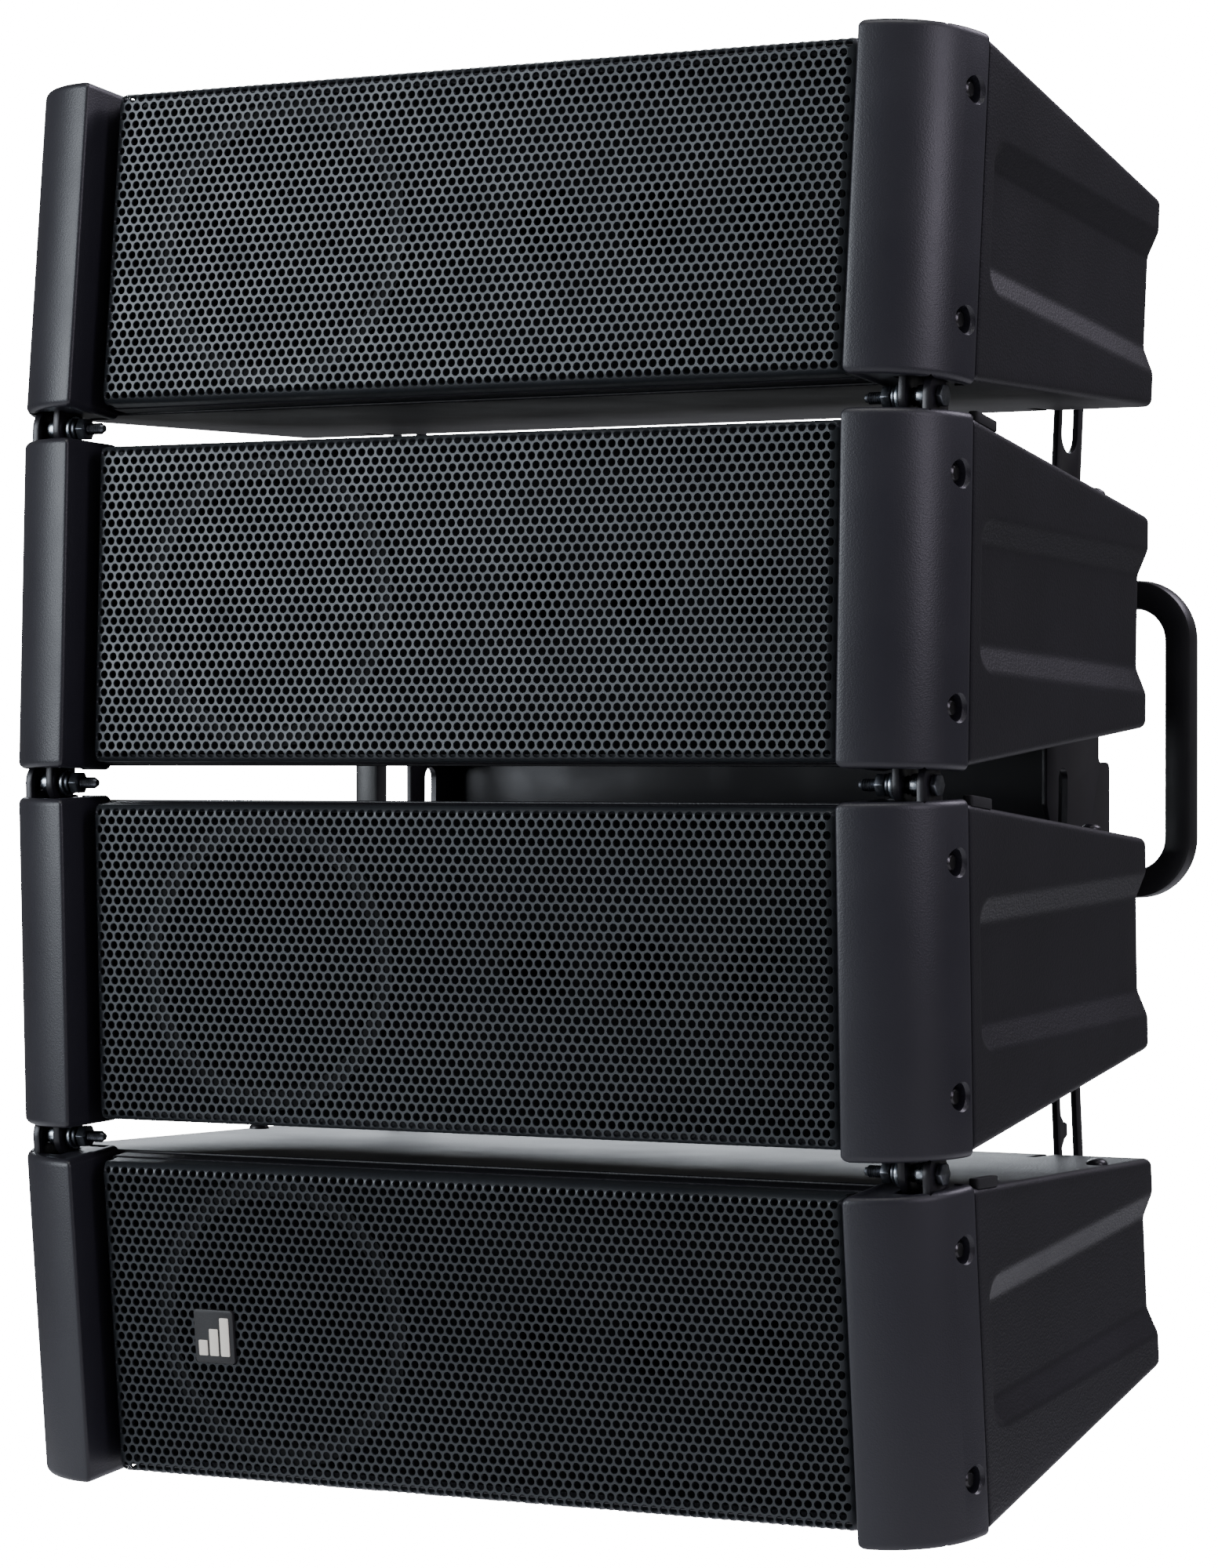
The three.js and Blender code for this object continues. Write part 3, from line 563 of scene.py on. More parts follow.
def trough_depth(y, z):
    """How far the side panel's long recess lies in at a point."""
    corner = 9
    past = max(0.0, abs(z) - (TROUGH_HALF - corner))
    start = TROUGH_START_Y + corner - math.sqrt(max(0.0, corner**2 - min(past, corner) ** 2))
    flank = soft_step((TROUGH_HALF - abs(z)) / (TROUGH_HALF - TROUGH_FLOOR_HALF))
    return TROUGH_DEPTH * flank * soft_step((y - start) / 4.5, 0.2)


def side_heights(flat):
    """Sample heights up one side panel, close together on the recess's flanks."""
    low, high = TROUGH_FLOOR_HALF - 2.5, TROUGH_HALF + 2
    upper = [*np.linspace(low, high, 22)[:-1], *np.linspace(high, flat, 7)]
    middle = np.linspace(-low, low, 9)[1:-1]
    return [*[-z for z in reversed(upper)], *middle, *upper]


def cabinet_ring(half_w, half_h, radius, y, depth=None):
    """One closed section of the cabinet, seen from the front, counter-clockwise from below right."""
    heights = side_heights(half_h - radius)
    dips = [depth(z) if depth else 0 for z in heights]
    right = [(half_w - dip, y, z) for dip, z in zip(dips, heights)]
    arc = [
        (half_w - radius + radius * math.cos(t), y, half_h - radius + radius * math.sin(t))
        for t in np.linspace(0, math.pi / 2, 7)[1:]
    ]
    top = [(x, y, half_h) for x in np.linspace(half_w - radius, -(half_w - radius), 9)[1:-1]]
    quarter = [*right, *arc]
    left = [(-x, y, z) for x, y, z in reversed(quarter)]
    bottom_arc = [(x, y, -z) for x, y, z in reversed(arc)]
    left_bottom = [(-x, y, -z) for x, y, z in arc]
    bottom = [(-x, y, -z) for x, y, z in top]
    return [*quarter, *top, *left, *left_bottom, *bottom, *bottom_arc]


def cabinet_shell():
    """Hollow wedge: outside from rear to seam, round the collar's lip and back inside."""
    rings = []

    def outside(y, inset_by, at=None):
        radius = max(EDGE_ROUND - inset_by, 0.5)
        ring_y = y if at is None else at
        rings.append(cabinet_ring(
            half_width(y) - inset_by, half_height(y) - inset_by, radius, ring_y,
            lambda z: trough_depth(y, z),
        ))

    for angle in np.linspace(math.pi / 2, 0, 9):
        y = REAR_Y - REAR_ROUND + REAR_ROUND * math.sin(angle)
        outside(y, REAR_ROUND * (1 - math.cos(angle)))
    for y in [
        *np.linspace(200, 80, 9), 70, 64, *np.arange(60, 41, -1.0), 39, 37, SEAM_Y + SEAM_GAP + 0.6,
    ]:
        outside(y, 0)
    outside(SEAM_Y + SEAM_GAP + 0.2, 0.2)
    outside(SEAM_Y + SEAM_GAP, 0.6)
    collar_w, collar_h, collar_y = COLLAR
    for grow, y in (
        (1.5, SEAM_Y + SEAM_GAP), (0, SEAM_Y + SEAM_GAP - 0.6), (0, collar_y + 0.5), (-0.5, collar_y),
    ):
        rings.append(cabinet_ring(collar_w + grow, collar_h + min(grow, 0), 1.5, y))
    rings.append(cabinet_ring(MOUTH[0], MOUTH[1], 1.0, collar_y))
    rings.append(cabinet_ring(MOUTH[0], MOUTH[1], 1.0, 40))
    for y in (44, REAR_Y - 4):
        rings.append(cabinet_ring(half_width(y) - 8, half_height(y) - 4, 1.0, y))
    return loft(rings)


def ear_shape(x0, x1, y1, z0, z1, holes):
    """Steel tab standing on the rear wall, with bolt holes."""
    corners = [(REAR_Y - 2, z0), (y1, z0), (y1, z1), (REAR_Y - 2, z1)]
    bores = [ring_points(y, z, LINK_BOLT_R + 0.3) for y, z in holes]
    return along_x(plate(rounded(corners, [0, 6, 6, 0]), bores, x0, x1, 0.5))


def screw(radius, height, hex_radius):
    """Button-head screw along +Z from its seat at 0, with a hexagon socket."""
    head = turned(
        [(radius, 0), (radius, height * 0.35), (radius * 0.86, height * 0.75), (radius * 0.62, height)],
        28,
    )
    socket = plate(
        ring_points(0, 0, radius * 0.63, 28), [hexagon(0, 0, hex_radius)], height * 0.5, height + 0.02,
        0.08,
    )
    return head.join(socket)


def cabinet_mesh(number):
    tools = []
    for side in SIDES.values():
        x0, x1 = sorted((side * (LINK_X - GROOVE_AIR), side * (LINK_X + LINK_SHEET + GROOVE_AIR)))
        tools.append(block(x0, x1, GROOVE_FLOOR_Y, REAR_Y + 20, -70, 70, 0.01))
    if number == 4:
        tools.append(block(-46, 46, REAR_Y - 10, REAR_Y + 5, -19, 19, 0.01))
    shape = to_shape(cut(base_shell.mesh("shell", [CABINET]), *tools))
    steel = Shape()
    for side in SIDES.values():
        wall = half_height(REAR_Y - 12) - 4.2
        for x0 in (LINK_X - 2.3, LINK_X + LINK_SHEET + GROOVE_AIR):
            shape.join(
                sided(block(x0, x0 + 1.4, GROOVE_FLOOR_Y - 2, REAR_Y - 2, -wall, wall, 0.05), side)
            )
        floor = block(
            LINK_X - 2.3, LINK_X + LINK_SHEET + 2.3, GROOVE_FLOOR_Y - 3, GROOVE_FLOOR_Y, -wall, wall,
            0.05,
        )
        shape.join(sided(floor, side))
        ear = ear_shape(
            EAR_X, EAR_X + EAR_WIDTH, EAR_REAR_Y, -EAR_HALF_HEIGHT, EAR_HALF_HEIGHT,
            [(LINK_BOLT_Y, LINK_BOLT_Z), (LINK_BOLT_Y, -LINK_BOLT_Z)],
        )
        steel.join(sided(ear, side))
        foot_outline = rounded([(EAR_X + 4, -34), (178, -34), (178, 34), (EAR_X + 4, 34)], [0, 5, 5, 0])
        foot = along_y(plate(foot_outline, [], REAR_Y - 0.5, REAR_Y + FOOT_SHEET, 0.5))
        steel.join(sided(foot, side))
        for z in (-24, 24):
            head = screw(3.8, 2.4, 1.9).moved(lambda x, y, h, z=z: (x + 169, REAR_Y + FOOT_SHEET + h, y + z))
            steel.join(sided(head, side))
        if number in (2, 3):
            up = 1 if number == 3 else -1
            z0, z1 = sorted((up * FIN_LOW_Z, up * FIN_HIGH_Z))
            fin = ear_shape(
                FIN_X, CHEEK_X - 0.3, FIN_REAR_Y, z0, z1, [(CHEEK_BOLT_Y, up * CHEEK_BOLT_Z)],
            )
            steel.join(sided(fin, side))
            base = rounded(
                [(122, z0 - 2), (FIN_X + 1, z0 - 2), (FIN_X + 1, z1 + 2), (122, z1 + 2)], [5, 0, 0, 5],
            )
            steel.join(sided(along_y(plate(base, [], REAR_Y - 0.5, REAR_Y + FOOT_SHEET, 0.5)), side))
            head = screw(3.8, 2.4, 1.9).moved(
                lambda x, y, h, z=up * 22: (x + 130, REAR_Y + FOOT_SHEET + h, y + z),
            )
            steel.join(sided(head, side))
    shape.join(steel, 1)
    if number > 1:
        slope = math.atan(TAPER)
        for side in SIDES.values():
            bumper = plate(
                rounded([(199.3, 38.5), (203.3, 38.5), (202.6, 57.5), (198.6, 57.5)], 1.2, 4), [], -0.6,
                3.4, 0.5,
            )
            bumper.moved(lambda x, y, z: (x, y, z + half_height(y)))
            shape.join(sided(bumper, side), 2)
            dome = turned([(4.2, -0.5), (4.2, 0.5), (3.6, 1.4), (2.2, 2.2), (0, 2.5)], 24)
            dome.moved(
                lambda x, y,
                z: (
                    x + 191.5, y + 172 + z * math.sin(slope),
                    z * math.cos(slope) + half_height(172 + y),
                ),
            )
            shape.join(sided(dome, side), 1)
    return shape.mesh(f"cabinet_mesh_{number}", [CABINET, PLATE, RUBBER])


base_shell = cabinet_shell()

# ---------------------------------------------------------------- corner pillars


def pillar_ring(inset_by, z):
    """Section of the right pillar: return face, rounded ridge, swept front, straight back."""
    x0, y0 = RIDGE_X + inset_by, inset_by
    outer, back = SEAM_X - inset_by, SEAM_Y - 0.3
    points = [(x0, back - t * (back - y0 - RIDGE_ROUND)) for t in np.linspace(0, 1, 6)]
    for t in np.linspace(math.pi, 1.5 * math.pi, 6)[1:]:
        points.append((x0 + RIDGE_ROUND + RIDGE_ROUND * math.cos(t), y0 + RIDGE_ROUND + RIDGE_ROUND * math.sin(t)))
    start, end = np.array([x0, y0]), np.array([outer, back - 0.5])
    leaving = np.array([LEAVING_X - inset_by * 0.4, y0])
    arriving = np.array([ARRIVING[0] - inset_by, ARRIVING[1] + inset_by * 0.6])
    for t in np.linspace(0.06, 1, 40):
        blend = (1 - t) ** 3 * start + 3 * (1 - t) ** 2 * t * leaving
        blend = blend + 3 * (1 - t) * t**2 * arriving + t**3 * end
        points.append(tuple(blend))
    points += [(outer - 0.15, back - 0.15), (outer - 0.5, back)]
    return [(x, y, z) for x, y in points]


def pillar_mesh(side):
    rings = []
    for sign in (-1, 1):
        levels = []
        for angle in np.linspace(0, math.pi / 2, 7):
            levels.append(
                (
                    PILLAR_ROUND * (1 - math.cos(angle)),
                    PILLAR_HALF - PILLAR_ROUND + PILLAR_ROUND * math.sin(angle),
                )
            )
        levels.append((PILLAR_ROUND + 1.2, PILLAR_HALF - 0.05))
        levels.append((PILLAR_ROUND + 2.2, PILLAR_HALF - 0.55))
        if sign < 0:
            levels.reverse()
        rings += [pillar_ring(amount, sign * z) for amount, z in levels]
    body = loft(rings)
    tools = []
    for sign in (-1, 1):
        z0, z1 = sorted((sign * (PILLAR_HALF - 16), sign * (PILLAR_HALF + 4)))
        tools.append(
            block(
                LOWER_LUG_X - 1.5, UPPER_LUG_X + LUG_SHEET + 1, HINGE_Y - LUG_R - 1.6, SEAM_Y + 5, z0,
                z1, 0.4,
            )
        )
        hole = turned([(SCREW_R, -12), (SCREW_R, -0.9), (SCREW_R + 0.9, 0.3), (SCREW_R + 2.5, 4)], 40)
        surface = SEAM_X - 0.75
        tools.append(hole.moved(lambda x, y, h, s=sign: (surface + h, y + SCREW_Y, x + s * SCREW_Z)))
    shape = to_shape(cut(body.mesh("pillar", [PILLAR]), *tools))
    for sign in (-1, 1):
        head = screw(4.1, 3.2, 2.2)
        head.moved(lambda x, y, h, s=sign: (SEAM_X - SCREW_SINK + h, y + SCREW_Y, x + s * SCREW_Z))
        shape.join(head, 1)
    return sided(shape, side).mesh("pillar_mesh", [PILLAR, BLACK_STEEL], 32)


# ---------------------------------------------------------------- perforated grille


def folded(half, along):
    """Position and set-back of a sheet coordinate that folds back at its edge, and its angle."""
    straight = half - GRILLE_BEND
    reach = np.abs(along) - straight
    angle = np.clip(reach / GRILLE_BEND, 0, math.pi / 2)
    past = np.maximum(reach - GRILLE_BEND * math.pi / 2, 0)
    position = np.where(reach > 0, straight + GRILLE_BEND * np.sin(angle), np.abs(along))
    back = np.where(reach > 0, GRILLE_BEND * (1 - np.cos(angle)) + past, 0)
    return np.sign(along) * position, back, np.sign(along) * angle


def on_sheet(u, v, depth):
    """Points of the folded sheet for flat coordinates and depths under the painted face."""
    x, back_x, angle_x = folded(GRILLE_HALF_WIDTH, u)
    z, back_z, angle_z = folded(GRILLE_HALF_HEIGHT, v)
    normal = np.stack([np.sin(angle_x), -np.cos(angle_x) * np.cos(angle_z), np.sin(angle_z)], -1)
    normal /= np.linalg.norm(normal, axis=-1)[..., None]
    points = np.stack([x, GRILLE_Y + back_x + back_z, z], -1)
    return points - normal * np.asarray(depth)[..., None]


def grille_mesh():
    """Sheet with staggered round holes, front face and hole walls, folded back at all four edges."""
    flange = GRILLE_FLANGE_Y - GRILLE_Y - GRILLE_BEND
    reach_u = GRILLE_HALF_WIDTH - GRILLE_BEND + GRILLE_BEND * math.pi / 2 + flange
    reach_v = GRILLE_HALF_HEIGHT - GRILLE_BEND + GRILLE_BEND * math.pi / 2 + flange
    row_pitch = HOLE_PITCH * math.sqrt(3) / 2
    rows = int(reach_v / row_pitch) + 1
    columns = int(reach_u / HOLE_PITCH) + 1
    angles = np.arange(12) * math.pi / 6
    edge = np.where(np.arange(12) % 2 == 0, HOLE_PITCH / 2, HOLE_PITCH / math.sqrt(3))
    cell = np.stack([edge * np.cos(angles), edge * np.sin(angles)], 1)
    circle = np.stack([np.cos(angles), np.sin(angles)], 1)
    verts, faces = [], []
    shared = {}
    for row in range(-rows, rows + 1):
        shift = HOLE_PITCH / 2 if row % 2 else 0
        for column in range(-columns, columns + 1):
            centre = np.array([column * HOLE_PITCH + shift, row * row_pitch])
            over_u, over_v = abs(centre[0]) - reach_u, abs(centre[1]) - reach_v
            if over_u > 1.9 or over_v > 1.9:
                continue
            deep_u = abs(centre[0]) > GRILLE_HALF_WIDTH - 0.5
            deep_v = abs(centre[1]) > GRILLE_HALF_HEIGHT - 0.5
            if deep_u and deep_v:
                continue
            border = centre + cell
            border[:, 0] = np.clip(border[:, 0], -reach_u, reach_u)
            border[:, 1] = np.clip(border[:, 1], -reach_v, reach_v)
            ids = []
            for u, v in border:
                key = (round(u * 50), round(v * 50))
                if key not in shared:
                    shared[key] = len(verts)
                    verts.append((u, v, 0.0))
                ids.append(shared[key])
            folded_u = over_u + flange + GRILLE_BEND
            folded_v = over_v + flange + GRILLE_BEND
            if folded_u > 0 or folded_v > 0:
                unique = list(dict.fromkeys(ids))
                if len(unique) > 2:
                    faces.append(tuple(unique))
                continue
            start = len(verts)
            rim = centre + circle * (HOLE_R + 0.08)
            wall = centre + circle * (HOLE_R - 0.06)
            verts += [(u, v, 0.0) for u, v in rim]
            verts += [(u, v, 0.02) for u, v in rim]
            verts += [(u, v, GRILLE_SHEET) for u, v in wall]
            for k in range(12):
                n = (k + 1) % 12
                faces.append((ids[k], ids[n], start + n, start + k))
                faces.append((start + 12 + k, start + 12 + n, start + 24 + n, start + 24 + k))
    table = np.array(verts)
    points = on_sheet(table[:, 0], table[:, 1], table[:, 2]) * MM
    mesh = bpy.data.meshes.new("grille_mesh")
    mesh.from_pydata([tuple(p) for p in points], [], faces)
    mesh.materials.append(GRILLE)
    mesh.shade_smooth()
    return mesh


# ---------------------------------------------------------------- hinge hardware


def lug_outline(z, towards):
    """Lug in (y, z): half circle about the hinge axis, and a shank towards the cabinet."""
    arc = [
        (HINGE_Y + LUG_R * math.cos(t), z + towards * LUG_R * math.sin(t))
        for t in np.linspace(0, math.pi, 17)
    ]
    return [*arc, (HINGE_Y - LUG_R, z - towards * 30), (HINGE_Y + LUG_R, z - towards * 30)]


def bracket_mesh(number, side):
    half = HINGE_PITCH / 2
    y0, y1 = HINGE_Y - LUG_R, HINGE_Y + LUG_R
    hole = LINK_BOLT_R - 0.7
    shape = block(LOWER_LUG_X, LOWER_LUG_X + LUG_SHEET, y0, y1, -half + 20, half - 27, 0.3)
    shape.join(block(LOWER_LUG_X, UPPER_LUG_X + LUG_SHEET, y0, y1, half - 30, half - 27, 0.3))
    if number > 1:
        lug = plate(
            lug_outline(half, 1), [ring_points(HINGE_Y, half, hole)], UPPER_LUG_X,
            UPPER_LUG_X + LUG_SHEET, 0.35,
        )
        shape.join(along_x(lug))
    if number < 4:
        lug = plate(
            lug_outline(-half, -1), [ring_points(HINGE_Y, -half, hole)], LOWER_LUG_X,
            LOWER_LUG_X + LUG_SHEET, 0.35,
        )
        shape.join(along_x(lug))
    return sided(shape, side).mesh(f"hinge_bracket_mesh_{number}", [PLATE])


def threaded(radius, pitch, length, lead=1.2):
    """Rod along +Z with thread ridges as close rings, and a chamfered tip."""
    profile = [(radius * 0.6, 0), (radius * 0.82, lead)]
    turns = int((length - lead) / pitch)
    for k in range(turns):
        h = lead + k * pitch
        profile += [(radius * 0.84, h), (radius, h + pitch * 0.5)]
    profile.append((radius * 0.84, length))
    return turned(profile, 20)


def hinge_bolt_mesh(side):
    """Bolt on the hinge axis: thread tip towards the middle, nut, washers, spacer and head."""
    rod = threaded(2.3, 0.9, 12).moved(lambda x, y, h: (RIDGE_X - 1 + h, x, y))
    shank = turned([(2.9, 0), (2.9, 22)], 24).moved(lambda x, y, h: (RIDGE_X + 8 + h, x, y))
    nut = along_x(plate(rounded(hexagon(0, 0, 4.6), 0.5, 3), [], *HINGE_NUT_X, 0.5))
    washer = turned([(5.2, 0), (5.3, 0.2), (5.3, 1.2), (5.2, 1.4)], 32)
    washer.moved(lambda x, y, h: (WASHER_X + h, x, y))
    spring = turned([(4.3, 0), (4.4, 0.2), (4.4, 1.1), (4.3, 1.3)], 32)
    spring.moved(lambda x, y, h: (SPRING_X + h, x, y))
    spacer = turned([(3.4, 0), (4.1, 0.5), (4.2, 1.2), (4.2, 3.2), (4.1, 3.8), (3.4, 4.2)], 32)
    spacer.moved(lambda x, y, h: (SPACER_X + h, x, y))
    head = along_x(plate(rounded(hexagon(0, 0, 4.4), 0.5, 3), [], *HINGE_HEAD_X, 0.5))
    # Slot 0 (rod, shank, nut, spring washer, head) takes the darker zinc, which is painted shade; slot 1 (washer,
    # spacer) takes the bright zinc.
    shape = rod.join(shank).join(nut).join(spring).join(head).join(washer, 1).join(spacer, 1)
    return sided(shape, side).mesh("hinge_bolt_mesh", [SHADED_ZINC, ZINC])


# ---------------------------------------------------------------- rear links, bracket, handles


def link_mesh(side, gated):
    y0, y1 = LINK_FRONT_Y, LINK_FRONT_Y + LINK_WIDTH
    half = LINK_HALF_LENGTH
    outer = rounded([(y0, -half), (y1, -half), (y1, half), (y0, half)], 5)
    if gated:
        left, right = SLOT_Y - SLOT_WIDTH / 2, SLOT_Y + SLOT_WIDTH / 2
        r = SLOT_WIDTH / 2 - 0.05
        corners = [
            (left, -SLOT_END), (right, -SLOT_END), (right, SLOT_END), (left, SLOT_END),
            (left, -14), (SLOT_Y - 5, -17), (SLOT_Y - 2, -18),
            (SLOT_Y - 2, -23), (SLOT_Y - 5, -24), (left, -27),
        ]
        holes = [rounded(corners, [r, r, r, r, 1, 1, 0.8, 0.8, 1, 1], 8)]
    else:
        holes = [
            slot_points(SLOT_Y, -SLOT_END, BRIDGE[0], SLOT_WIDTH),
            slot_points(SLOT_Y, BRIDGE[1], SLOT_END, SLOT_WIDTH),
        ]
    shape = along_x(plate(outer, holes, LINK_X, LINK_X + LINK_SHEET, 0.35))
    return sided(shape, side).mesh("link_mesh", [PLATE])


def arc_slot(radius, start, end, width):
    """Slot of a given width along an arc about the hinge, in (y, z)."""
    half = width / 2
    outer = [
        (HINGE_Y + (radius + half) * math.cos(t), (radius + half) * math.sin(t))
        for t in np.linspace(start, end, 14)
    ]
    inner = [
        (HINGE_Y + (radius - half) * math.cos(t), (radius - half) * math.sin(t))
        for t in np.linspace(end, start, 14)
    ]

    def cap(angle, turn):
        y, z = HINGE_Y + radius * math.cos(angle), radius * math.sin(angle)
        return [
            (y + half * math.cos(angle + turn + t), z + half * math.sin(angle + turn + t))
            for t in np.linspace(0, math.pi, 11)[1:-1]
        ]

    return [*outer, *cap(end, 0), *inner, *cap(start, math.pi)]


def bracket_rear_mesh():
    """Two cheeks with arc slots, joined by a web. Each slot runs out at its cheek's front edge."""
    corners = [(228, -9), (252, -68), (291, -68), (291, 8), (280, 8), (280, 89), (228, 89)]
    outline = rounded(corners, [4, 4, 5, 3, 2, 5, 5], 6)
    arm_y, arm_z = CHEEK_BOLT_Y - HINGE_Y, CHEEK_BOLT_Z - HINGE_PITCH / 2
    zero = math.atan2(arm_z, arm_y) - math.radians(REST_SPLAY / 2)
    slot = arc_slot(math.hypot(arm_y, arm_z), zero - 0.003, zero + math.radians(SPLAY_MAX) + 0.003, 9)
    solid = along_x(plate(outline, [], CHEEK_X, CHEEK_X + LINK_SHEET, 0.35))
    opening = along_x(plate(slot, [], CHEEK_X - 1, CHEEK_X + LINK_SHEET + 1, 0.02))
    cheek = to_shape(cut(solid.mesh("cheek", [PLATE]), opening))
    shape = Shape().join(cheek).join(cheek.mirrored())
    web = rounded(
        [
            (-CHEEK_X - 1, WEB_LOW_Z), (CHEEK_X + 1, WEB_LOW_Z), (CHEEK_X + 1, WEB_HIGH_Z),
            (-CHEEK_X - 1, WEB_HIGH_Z),
        ],
        0.5, 2,
    )
    shape.join(along_y(plate(web, [], WEB_Y, WEB_Y + LINK_SHEET, 0.35)))
    return shape.mesh("rear_bracket_mesh", [PLATE])


def handle_mesh(side):
    x0 = CHEEK_X + LINK_SHEET + 0.3
    bar = HANDLE_BAR
    out, top, low = HANDLE_OUT_X, HANDLE_TOP_Z, HANDLE_BOTTOM_Z
    outer = [(x0, low), (out, low), (out, top), (x0, top)]
    inner = [(x0, top - bar), (out - bar, top - bar), (out - bar, low + bar), (x0, low + bar)]
    r, ri = HANDLE_CORNER_R, HANDLE_CORNER_R - bar
    outline = rounded([*outer, *inner], [0, r, r, 0, 0, ri, ri, 0], 16)
    shape = along_y(plate(outline, [], HANDLE_FRONT_Y, HANDLE_FRONT_Y + HANDLE_DEPTH, 1.6))
    return sided(shape, side).mesh("handle_mesh", [HANDLE])


def clamp_bolt_mesh(side, head, nut, y, z):
    """Flat round head against the plate and a hexagon nut behind the ear, both given as X spans."""
    low, high = min(head[0], nut[0]), max(head[1], nut[1])
    outward = head[0] > nut[0]
    rod = turned([(LINK_BOLT_R, low + 0.5), (LINK_BOLT_R, high - 0.5)], 24)
    rod.moved(lambda a, b, h: (h, y + a, z + b))
    rise = head[1] - head[0]
    disc = turned([(9.1, 0), (9.2, 0.3), (9.2, rise - 0.8), (8.6, rise - 0.2), (4.4, rise)], 36)
    if outward:
        disc.moved(lambda a, b, h: (head[0] + h, y + a, z + b))
    else:
        disc.moved(lambda a, b, h: (head[1] - h, y + a, z + b))
    hexagonal = along_x(plate(rounded(hexagon(y, z, 6.8), 0.6, 3), [], nut[0], nut[1], 0.6))
    shape = merged(rod.join(disc).join(hexagonal), 0.0001)
    return sided(shape, side).mesh("clamp_bolt_mesh", [BLACK_STEEL])


# ---------------------------------------------------------------- input panel and mark


def panel_mesh():
    face = REAR_Y + 0.3
    half_w, half_h = PANEL_HALF
    outline = rounded([(-half_w, -half_h), (half_w, -half_h), (half_w, half_h), (-half_w, half_h)], 4)
    bores = [ring_points(x, 0, SOCKET_R - 0.2, 40) for x in (-SOCKET_X, SOCKET_X)]
    shape = along_y(plate(outline, bores, face, face + 3, 0.6))
    for x in (-SOCKET_X, SOCKET_X):
        cup = turned([
            (SOCKET_R, 0), (SOCKET_R, 17.5), (SOCKET_R - 0.5, 18.2), (9.9, 18.2),
            (9.5, 17.7), (9.5, 4), (4.2, 4),
            (4.2, 14.5), (3.6, 15.2), (0, 15.2),
        ], 44)
        shape.join(cup.moved(lambda a, b, h, x=x: (x + a, 206 + h, b)))
        collar = turned(
            [(SOCKET_R + 2.4, 0), (SOCKET_R + 2.4, 1.2), (SOCKET_R + 1.8, 1.8), (SOCKET_R, 1.8)], 44,
        )
        shape.join(collar.moved(lambda a, b, h, x=x: (x + a, face + 2.8 + h, b)))
        for t in range(4):
            angle = math.pi / 4 + t * math.pi / 2
            contact = block(-0.5, 0.5, -1.6, 1.6, 0, 9, 0.15)
            c, s = math.cos(angle), math.sin(angle)
            contact.moved(
                lambda a, b, h, x=x, c=c, s=s: (x + (7 + a) * c - b * s, 210 + h, (7 + a) * s + b * c),
            )
            shape.join(contact, 1)
    for x in (-half_w + 6, half_w - 6):
        for z in (-half_h + 6, half_h - 6):
            head = screw(3.4, 2, 1.7)
            shape.join(head.moved(lambda a, b, h, x=x, z=z: (x + a, face + 3 + h, z + b)), 2)
    shape.join(block(-42, 42, 196, 198, -16, 16, 0.2))
    return shape.mesh("input_panel_mesh", [PANEL, MARK, BLACK_STEEL])


def mark_mesh():
    """Small badge on the lowest grille: a dark plate with three plain level bars."""
    x, z = MARK_PLACE
    y = GRILLE_Y
    back = rounded([(x - 9, z - 10.5), (x + 9, z - 10.5), (x + 9, z + 10.5), (x - 9, z + 10.5)], 1.4, 5)
    shape = along_y(plate(back, [], y - 1.5, y + 0.2, 0.35))
    for k, height in enumerate((6, 10.5, 15)):
        left = x - 7 + 5 * k
        bar = rounded(
            [
                (left, z - 7.5), (left + 4, z - 7.5), (left + 4, z - 7.5 + height),
                (left, z - 7.5 + height),
            ],
            0.4, 2,
        )
        shape.join(along_y(plate(bar, [], y - 1.9, y - 1.3, 0.12)), 1)
    return shape.mesh("mark_mesh", [PANEL, MARK])


# ---------------------------------------------------------------- assembly

pillars = {label: pillar_mesh(side) for label, side in SIDES.items()}
grille = grille_mesh()

for number, matrix in modules.items():
    body = f"module_{number}"
    place(f"cabinet_shell_{number}", cabinet_mesh(number), matrix, body, "cabinet", f"cabinet_{number}")
    place(f"perforated_grille_{number}", grille, matrix, body, "grille", f"grille_{number}")
    for label, side in SIDES.items():
        place(
            f"corner_pillar_{label}_{number}", pillars[label], matrix, body, "pillar",
            f"pillar_{label}_{number}",
        )
        place(
            f"hinge_lugs_{label}_{number}", bracket_mesh(number, side), matrix, body, "plate",
            f"hinge_bracket_{label}_{number}",
        )

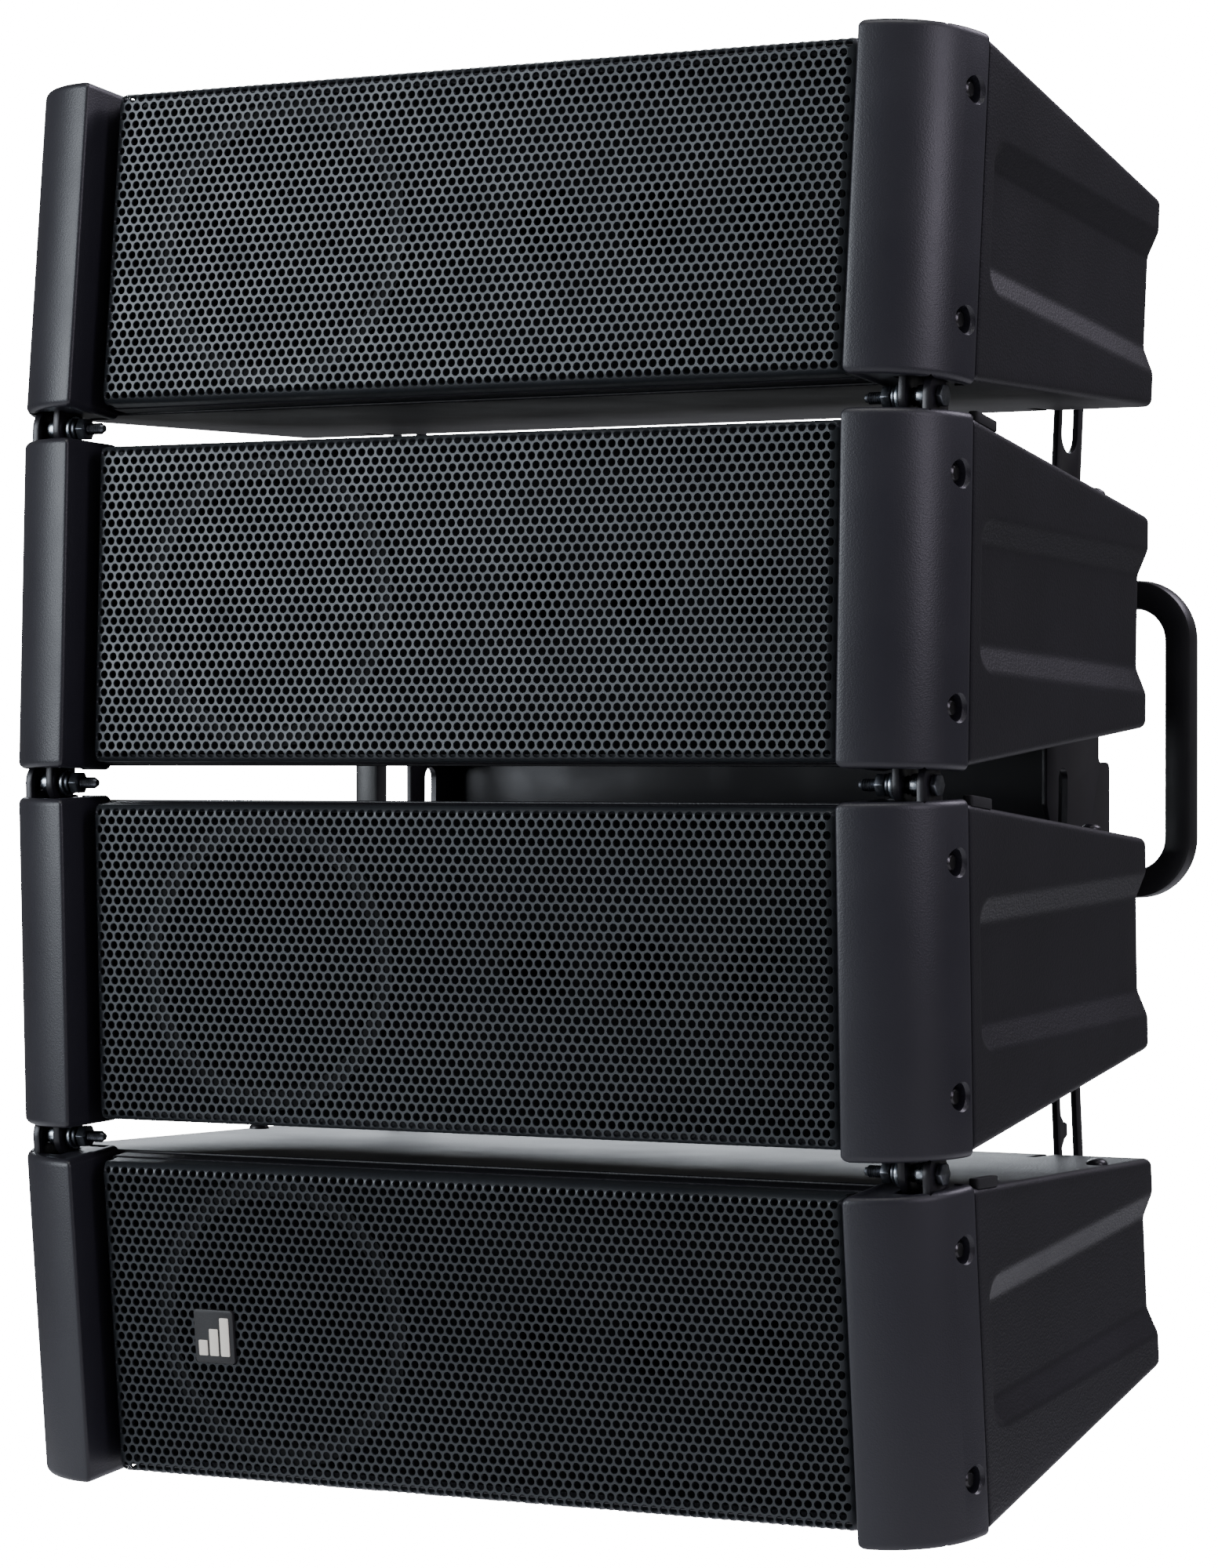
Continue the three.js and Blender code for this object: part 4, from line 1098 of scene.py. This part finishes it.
for label, side in SIDES.items():
    bolt = hinge_bolt_mesh(side)
    for pair, owner in (("12", "module_1"), ("23", "module_2"), ("34", "module_3")):
        spot = tilted(hinges[f"splay_{pair}"], 0)
        place(f"hinge_screw_{label}_{pair}", bolt, spot, owner, "zinc", f"hinge_bolt_{label}_{pair}")
    upper, lower = link_mesh(side, False), link_mesh(side, True)
    place(
        f"link_{label}_12", upper, hinge_frame("splay_12", PITCH[1]), "module_1", "plate",
        f"link_plate_{label}_12",
    )
    place(
        f"link_{label}_34", lower, hinge_frame("splay_34", PITCH[4]), "module_4", "plate",
        f"link_plate_{label}_34",
    )
    place(
        f"grip_{label}", handle_mesh(side), hinge_frame("splay_23", 0), "module_2", "handle",
        f"handle_{label}",
    )
    link_head = (LINK_X - 2.7, LINK_X - 0.3)
    link_nut = (EAR_X + EAR_WIDTH + 0.3, EAR_X + EAR_WIDTH + 5.8)
    cheek_head = (CHEEK_X + LINK_SHEET + 0.3, CHEEK_X + LINK_SHEET + 2.6)
    cheek_nut = (FIN_X - 5.8, FIN_X - 0.3)
    for pair, number, head, nut, y, z in (
        ("12", 2, link_head, link_nut, LINK_BOLT_Y, LINK_BOLT_Z),
        ("34", 3, link_head, link_nut, LINK_BOLT_Y, -LINK_BOLT_Z),
        ("23", 3, cheek_head, cheek_nut, CHEEK_BOLT_Y, CHEEK_BOLT_Z),
    ):
        mesh = clamp_bolt_mesh(side, head, nut, y, z)
        place(
            f"clamp_{label}_{pair}", mesh, modules[number], f"module_{number}", "zinc",
            f"clamp_bolt_{label}_{pair}",
        )

place("rear_frame", bracket_rear_mesh(), hinge_frame("splay_23", 0), "module_2", "plate", "rear_bracket")
place("connector_panel", panel_mesh(), modules[4], "module_4", "panel", "input_panel")
place("level_mark", mark_mesh(), modules[4], "module_4", "panel")

carried = {"baffle": BAFFLE, "woofer_frame": BASKET, "woofer_cone": CONE, "tweeter_bar": HORN}
for name, node in frame["nodes"].items():
    material = carried.get(name.rsplit("_", 1)[0])
    if material:
        node.data.materials.clear()
        node.data.materials.append(material)

# ---------------------------------------------------------------- stage and light

FLOOR_DROP, FLOOR_R = 0.36, 1.8
AMBIENT, BACKDROP = 0.12, 18.0
floor_z = cad_box[0][2] - FLOOR_DROP
bpy.ops.mesh.primitive_circle_add(vertices=128, radius=FLOOR_R, fill_type="NGON", location=(0, 0, floor_z))
floor = bpy.context.object
floor.name = "floor"
floor_material, floor_nodes, floor_links, floor_shader, floor_place = node_material(
    "floor_paint", {"Roughness": 0.9}
)
floor_tone = ramp(
    floor_nodes, floor_links, noise(floor_nodes, floor_links, floor_place, 3), (0.3, 0.78), (0.7, 0.82),
)
floor_links.new(floor_tone, floor_shader.inputs["Base Color"])
floor.data.materials.append(floor_material)


def softbox(name, azimuth, elevation, distance, width, height, power, tint=(1, 1, 1)):
    """Area light on a sphere round the object, facing its middle."""
    light = bpy.data.lights.new(name, "AREA")
    light.shape = "RECTANGLE"
    light.size, light.size_y = width, height
    light.energy = power
    light.color = tint
    obj = bpy.data.objects.new(name, light)
    a, e = math.radians(azimuth), math.radians(elevation)
    away = Vector((math.sin(a) * math.cos(e), -math.cos(a) * math.cos(e), math.sin(e)))
    obj.location = away * distance
    obj.rotation_euler = away.to_track_quat("Z", "Y").to_euler()
    bpy.context.scene.collection.objects.link(obj)
    return obj


RIGHT_TINT, LEFT_TINT = (0.9, 0.84, 1.0), (0.87, 0.93, 1.0)
softbox("right_box", 72, 22, 2.2, 0.55, 1.2, 15, RIGHT_TINT)
softbox("left_box", -40, 14, 2.4, 1.0, 1.5, 52, LEFT_TINT)
softbox("top_box", 10, 74, 2.0, 1.4, 1.0, 16)
softbox("flank_box", 142, 44, 2.4, 1.0, 1.0, 34, RIGHT_TINT)
softbox("back_box", 214, 24, 2.6, 1.2, 1.2, 34, LEFT_TINT)

world = bpy.data.worlds.new("studio")
bpy.context.scene.world = world
world.use_nodes = True
world_nodes, world_links = world.node_tree.nodes, world.node_tree.links
world_nodes["Background"].inputs["Color"].default_value = (1, 1, 1, 1)
path = world_nodes.new("ShaderNodeLightPath")
seen = world_nodes.new("ShaderNodeMapRange")
seen.inputs["To Min"].default_value = AMBIENT
seen.inputs["To Max"].default_value = BACKDROP
world_links.new(path.outputs["Is Camera Ray"], seen.inputs["Value"])
world_links.new(seen.outputs["Result"], world_nodes["Background"].inputs["Strength"])
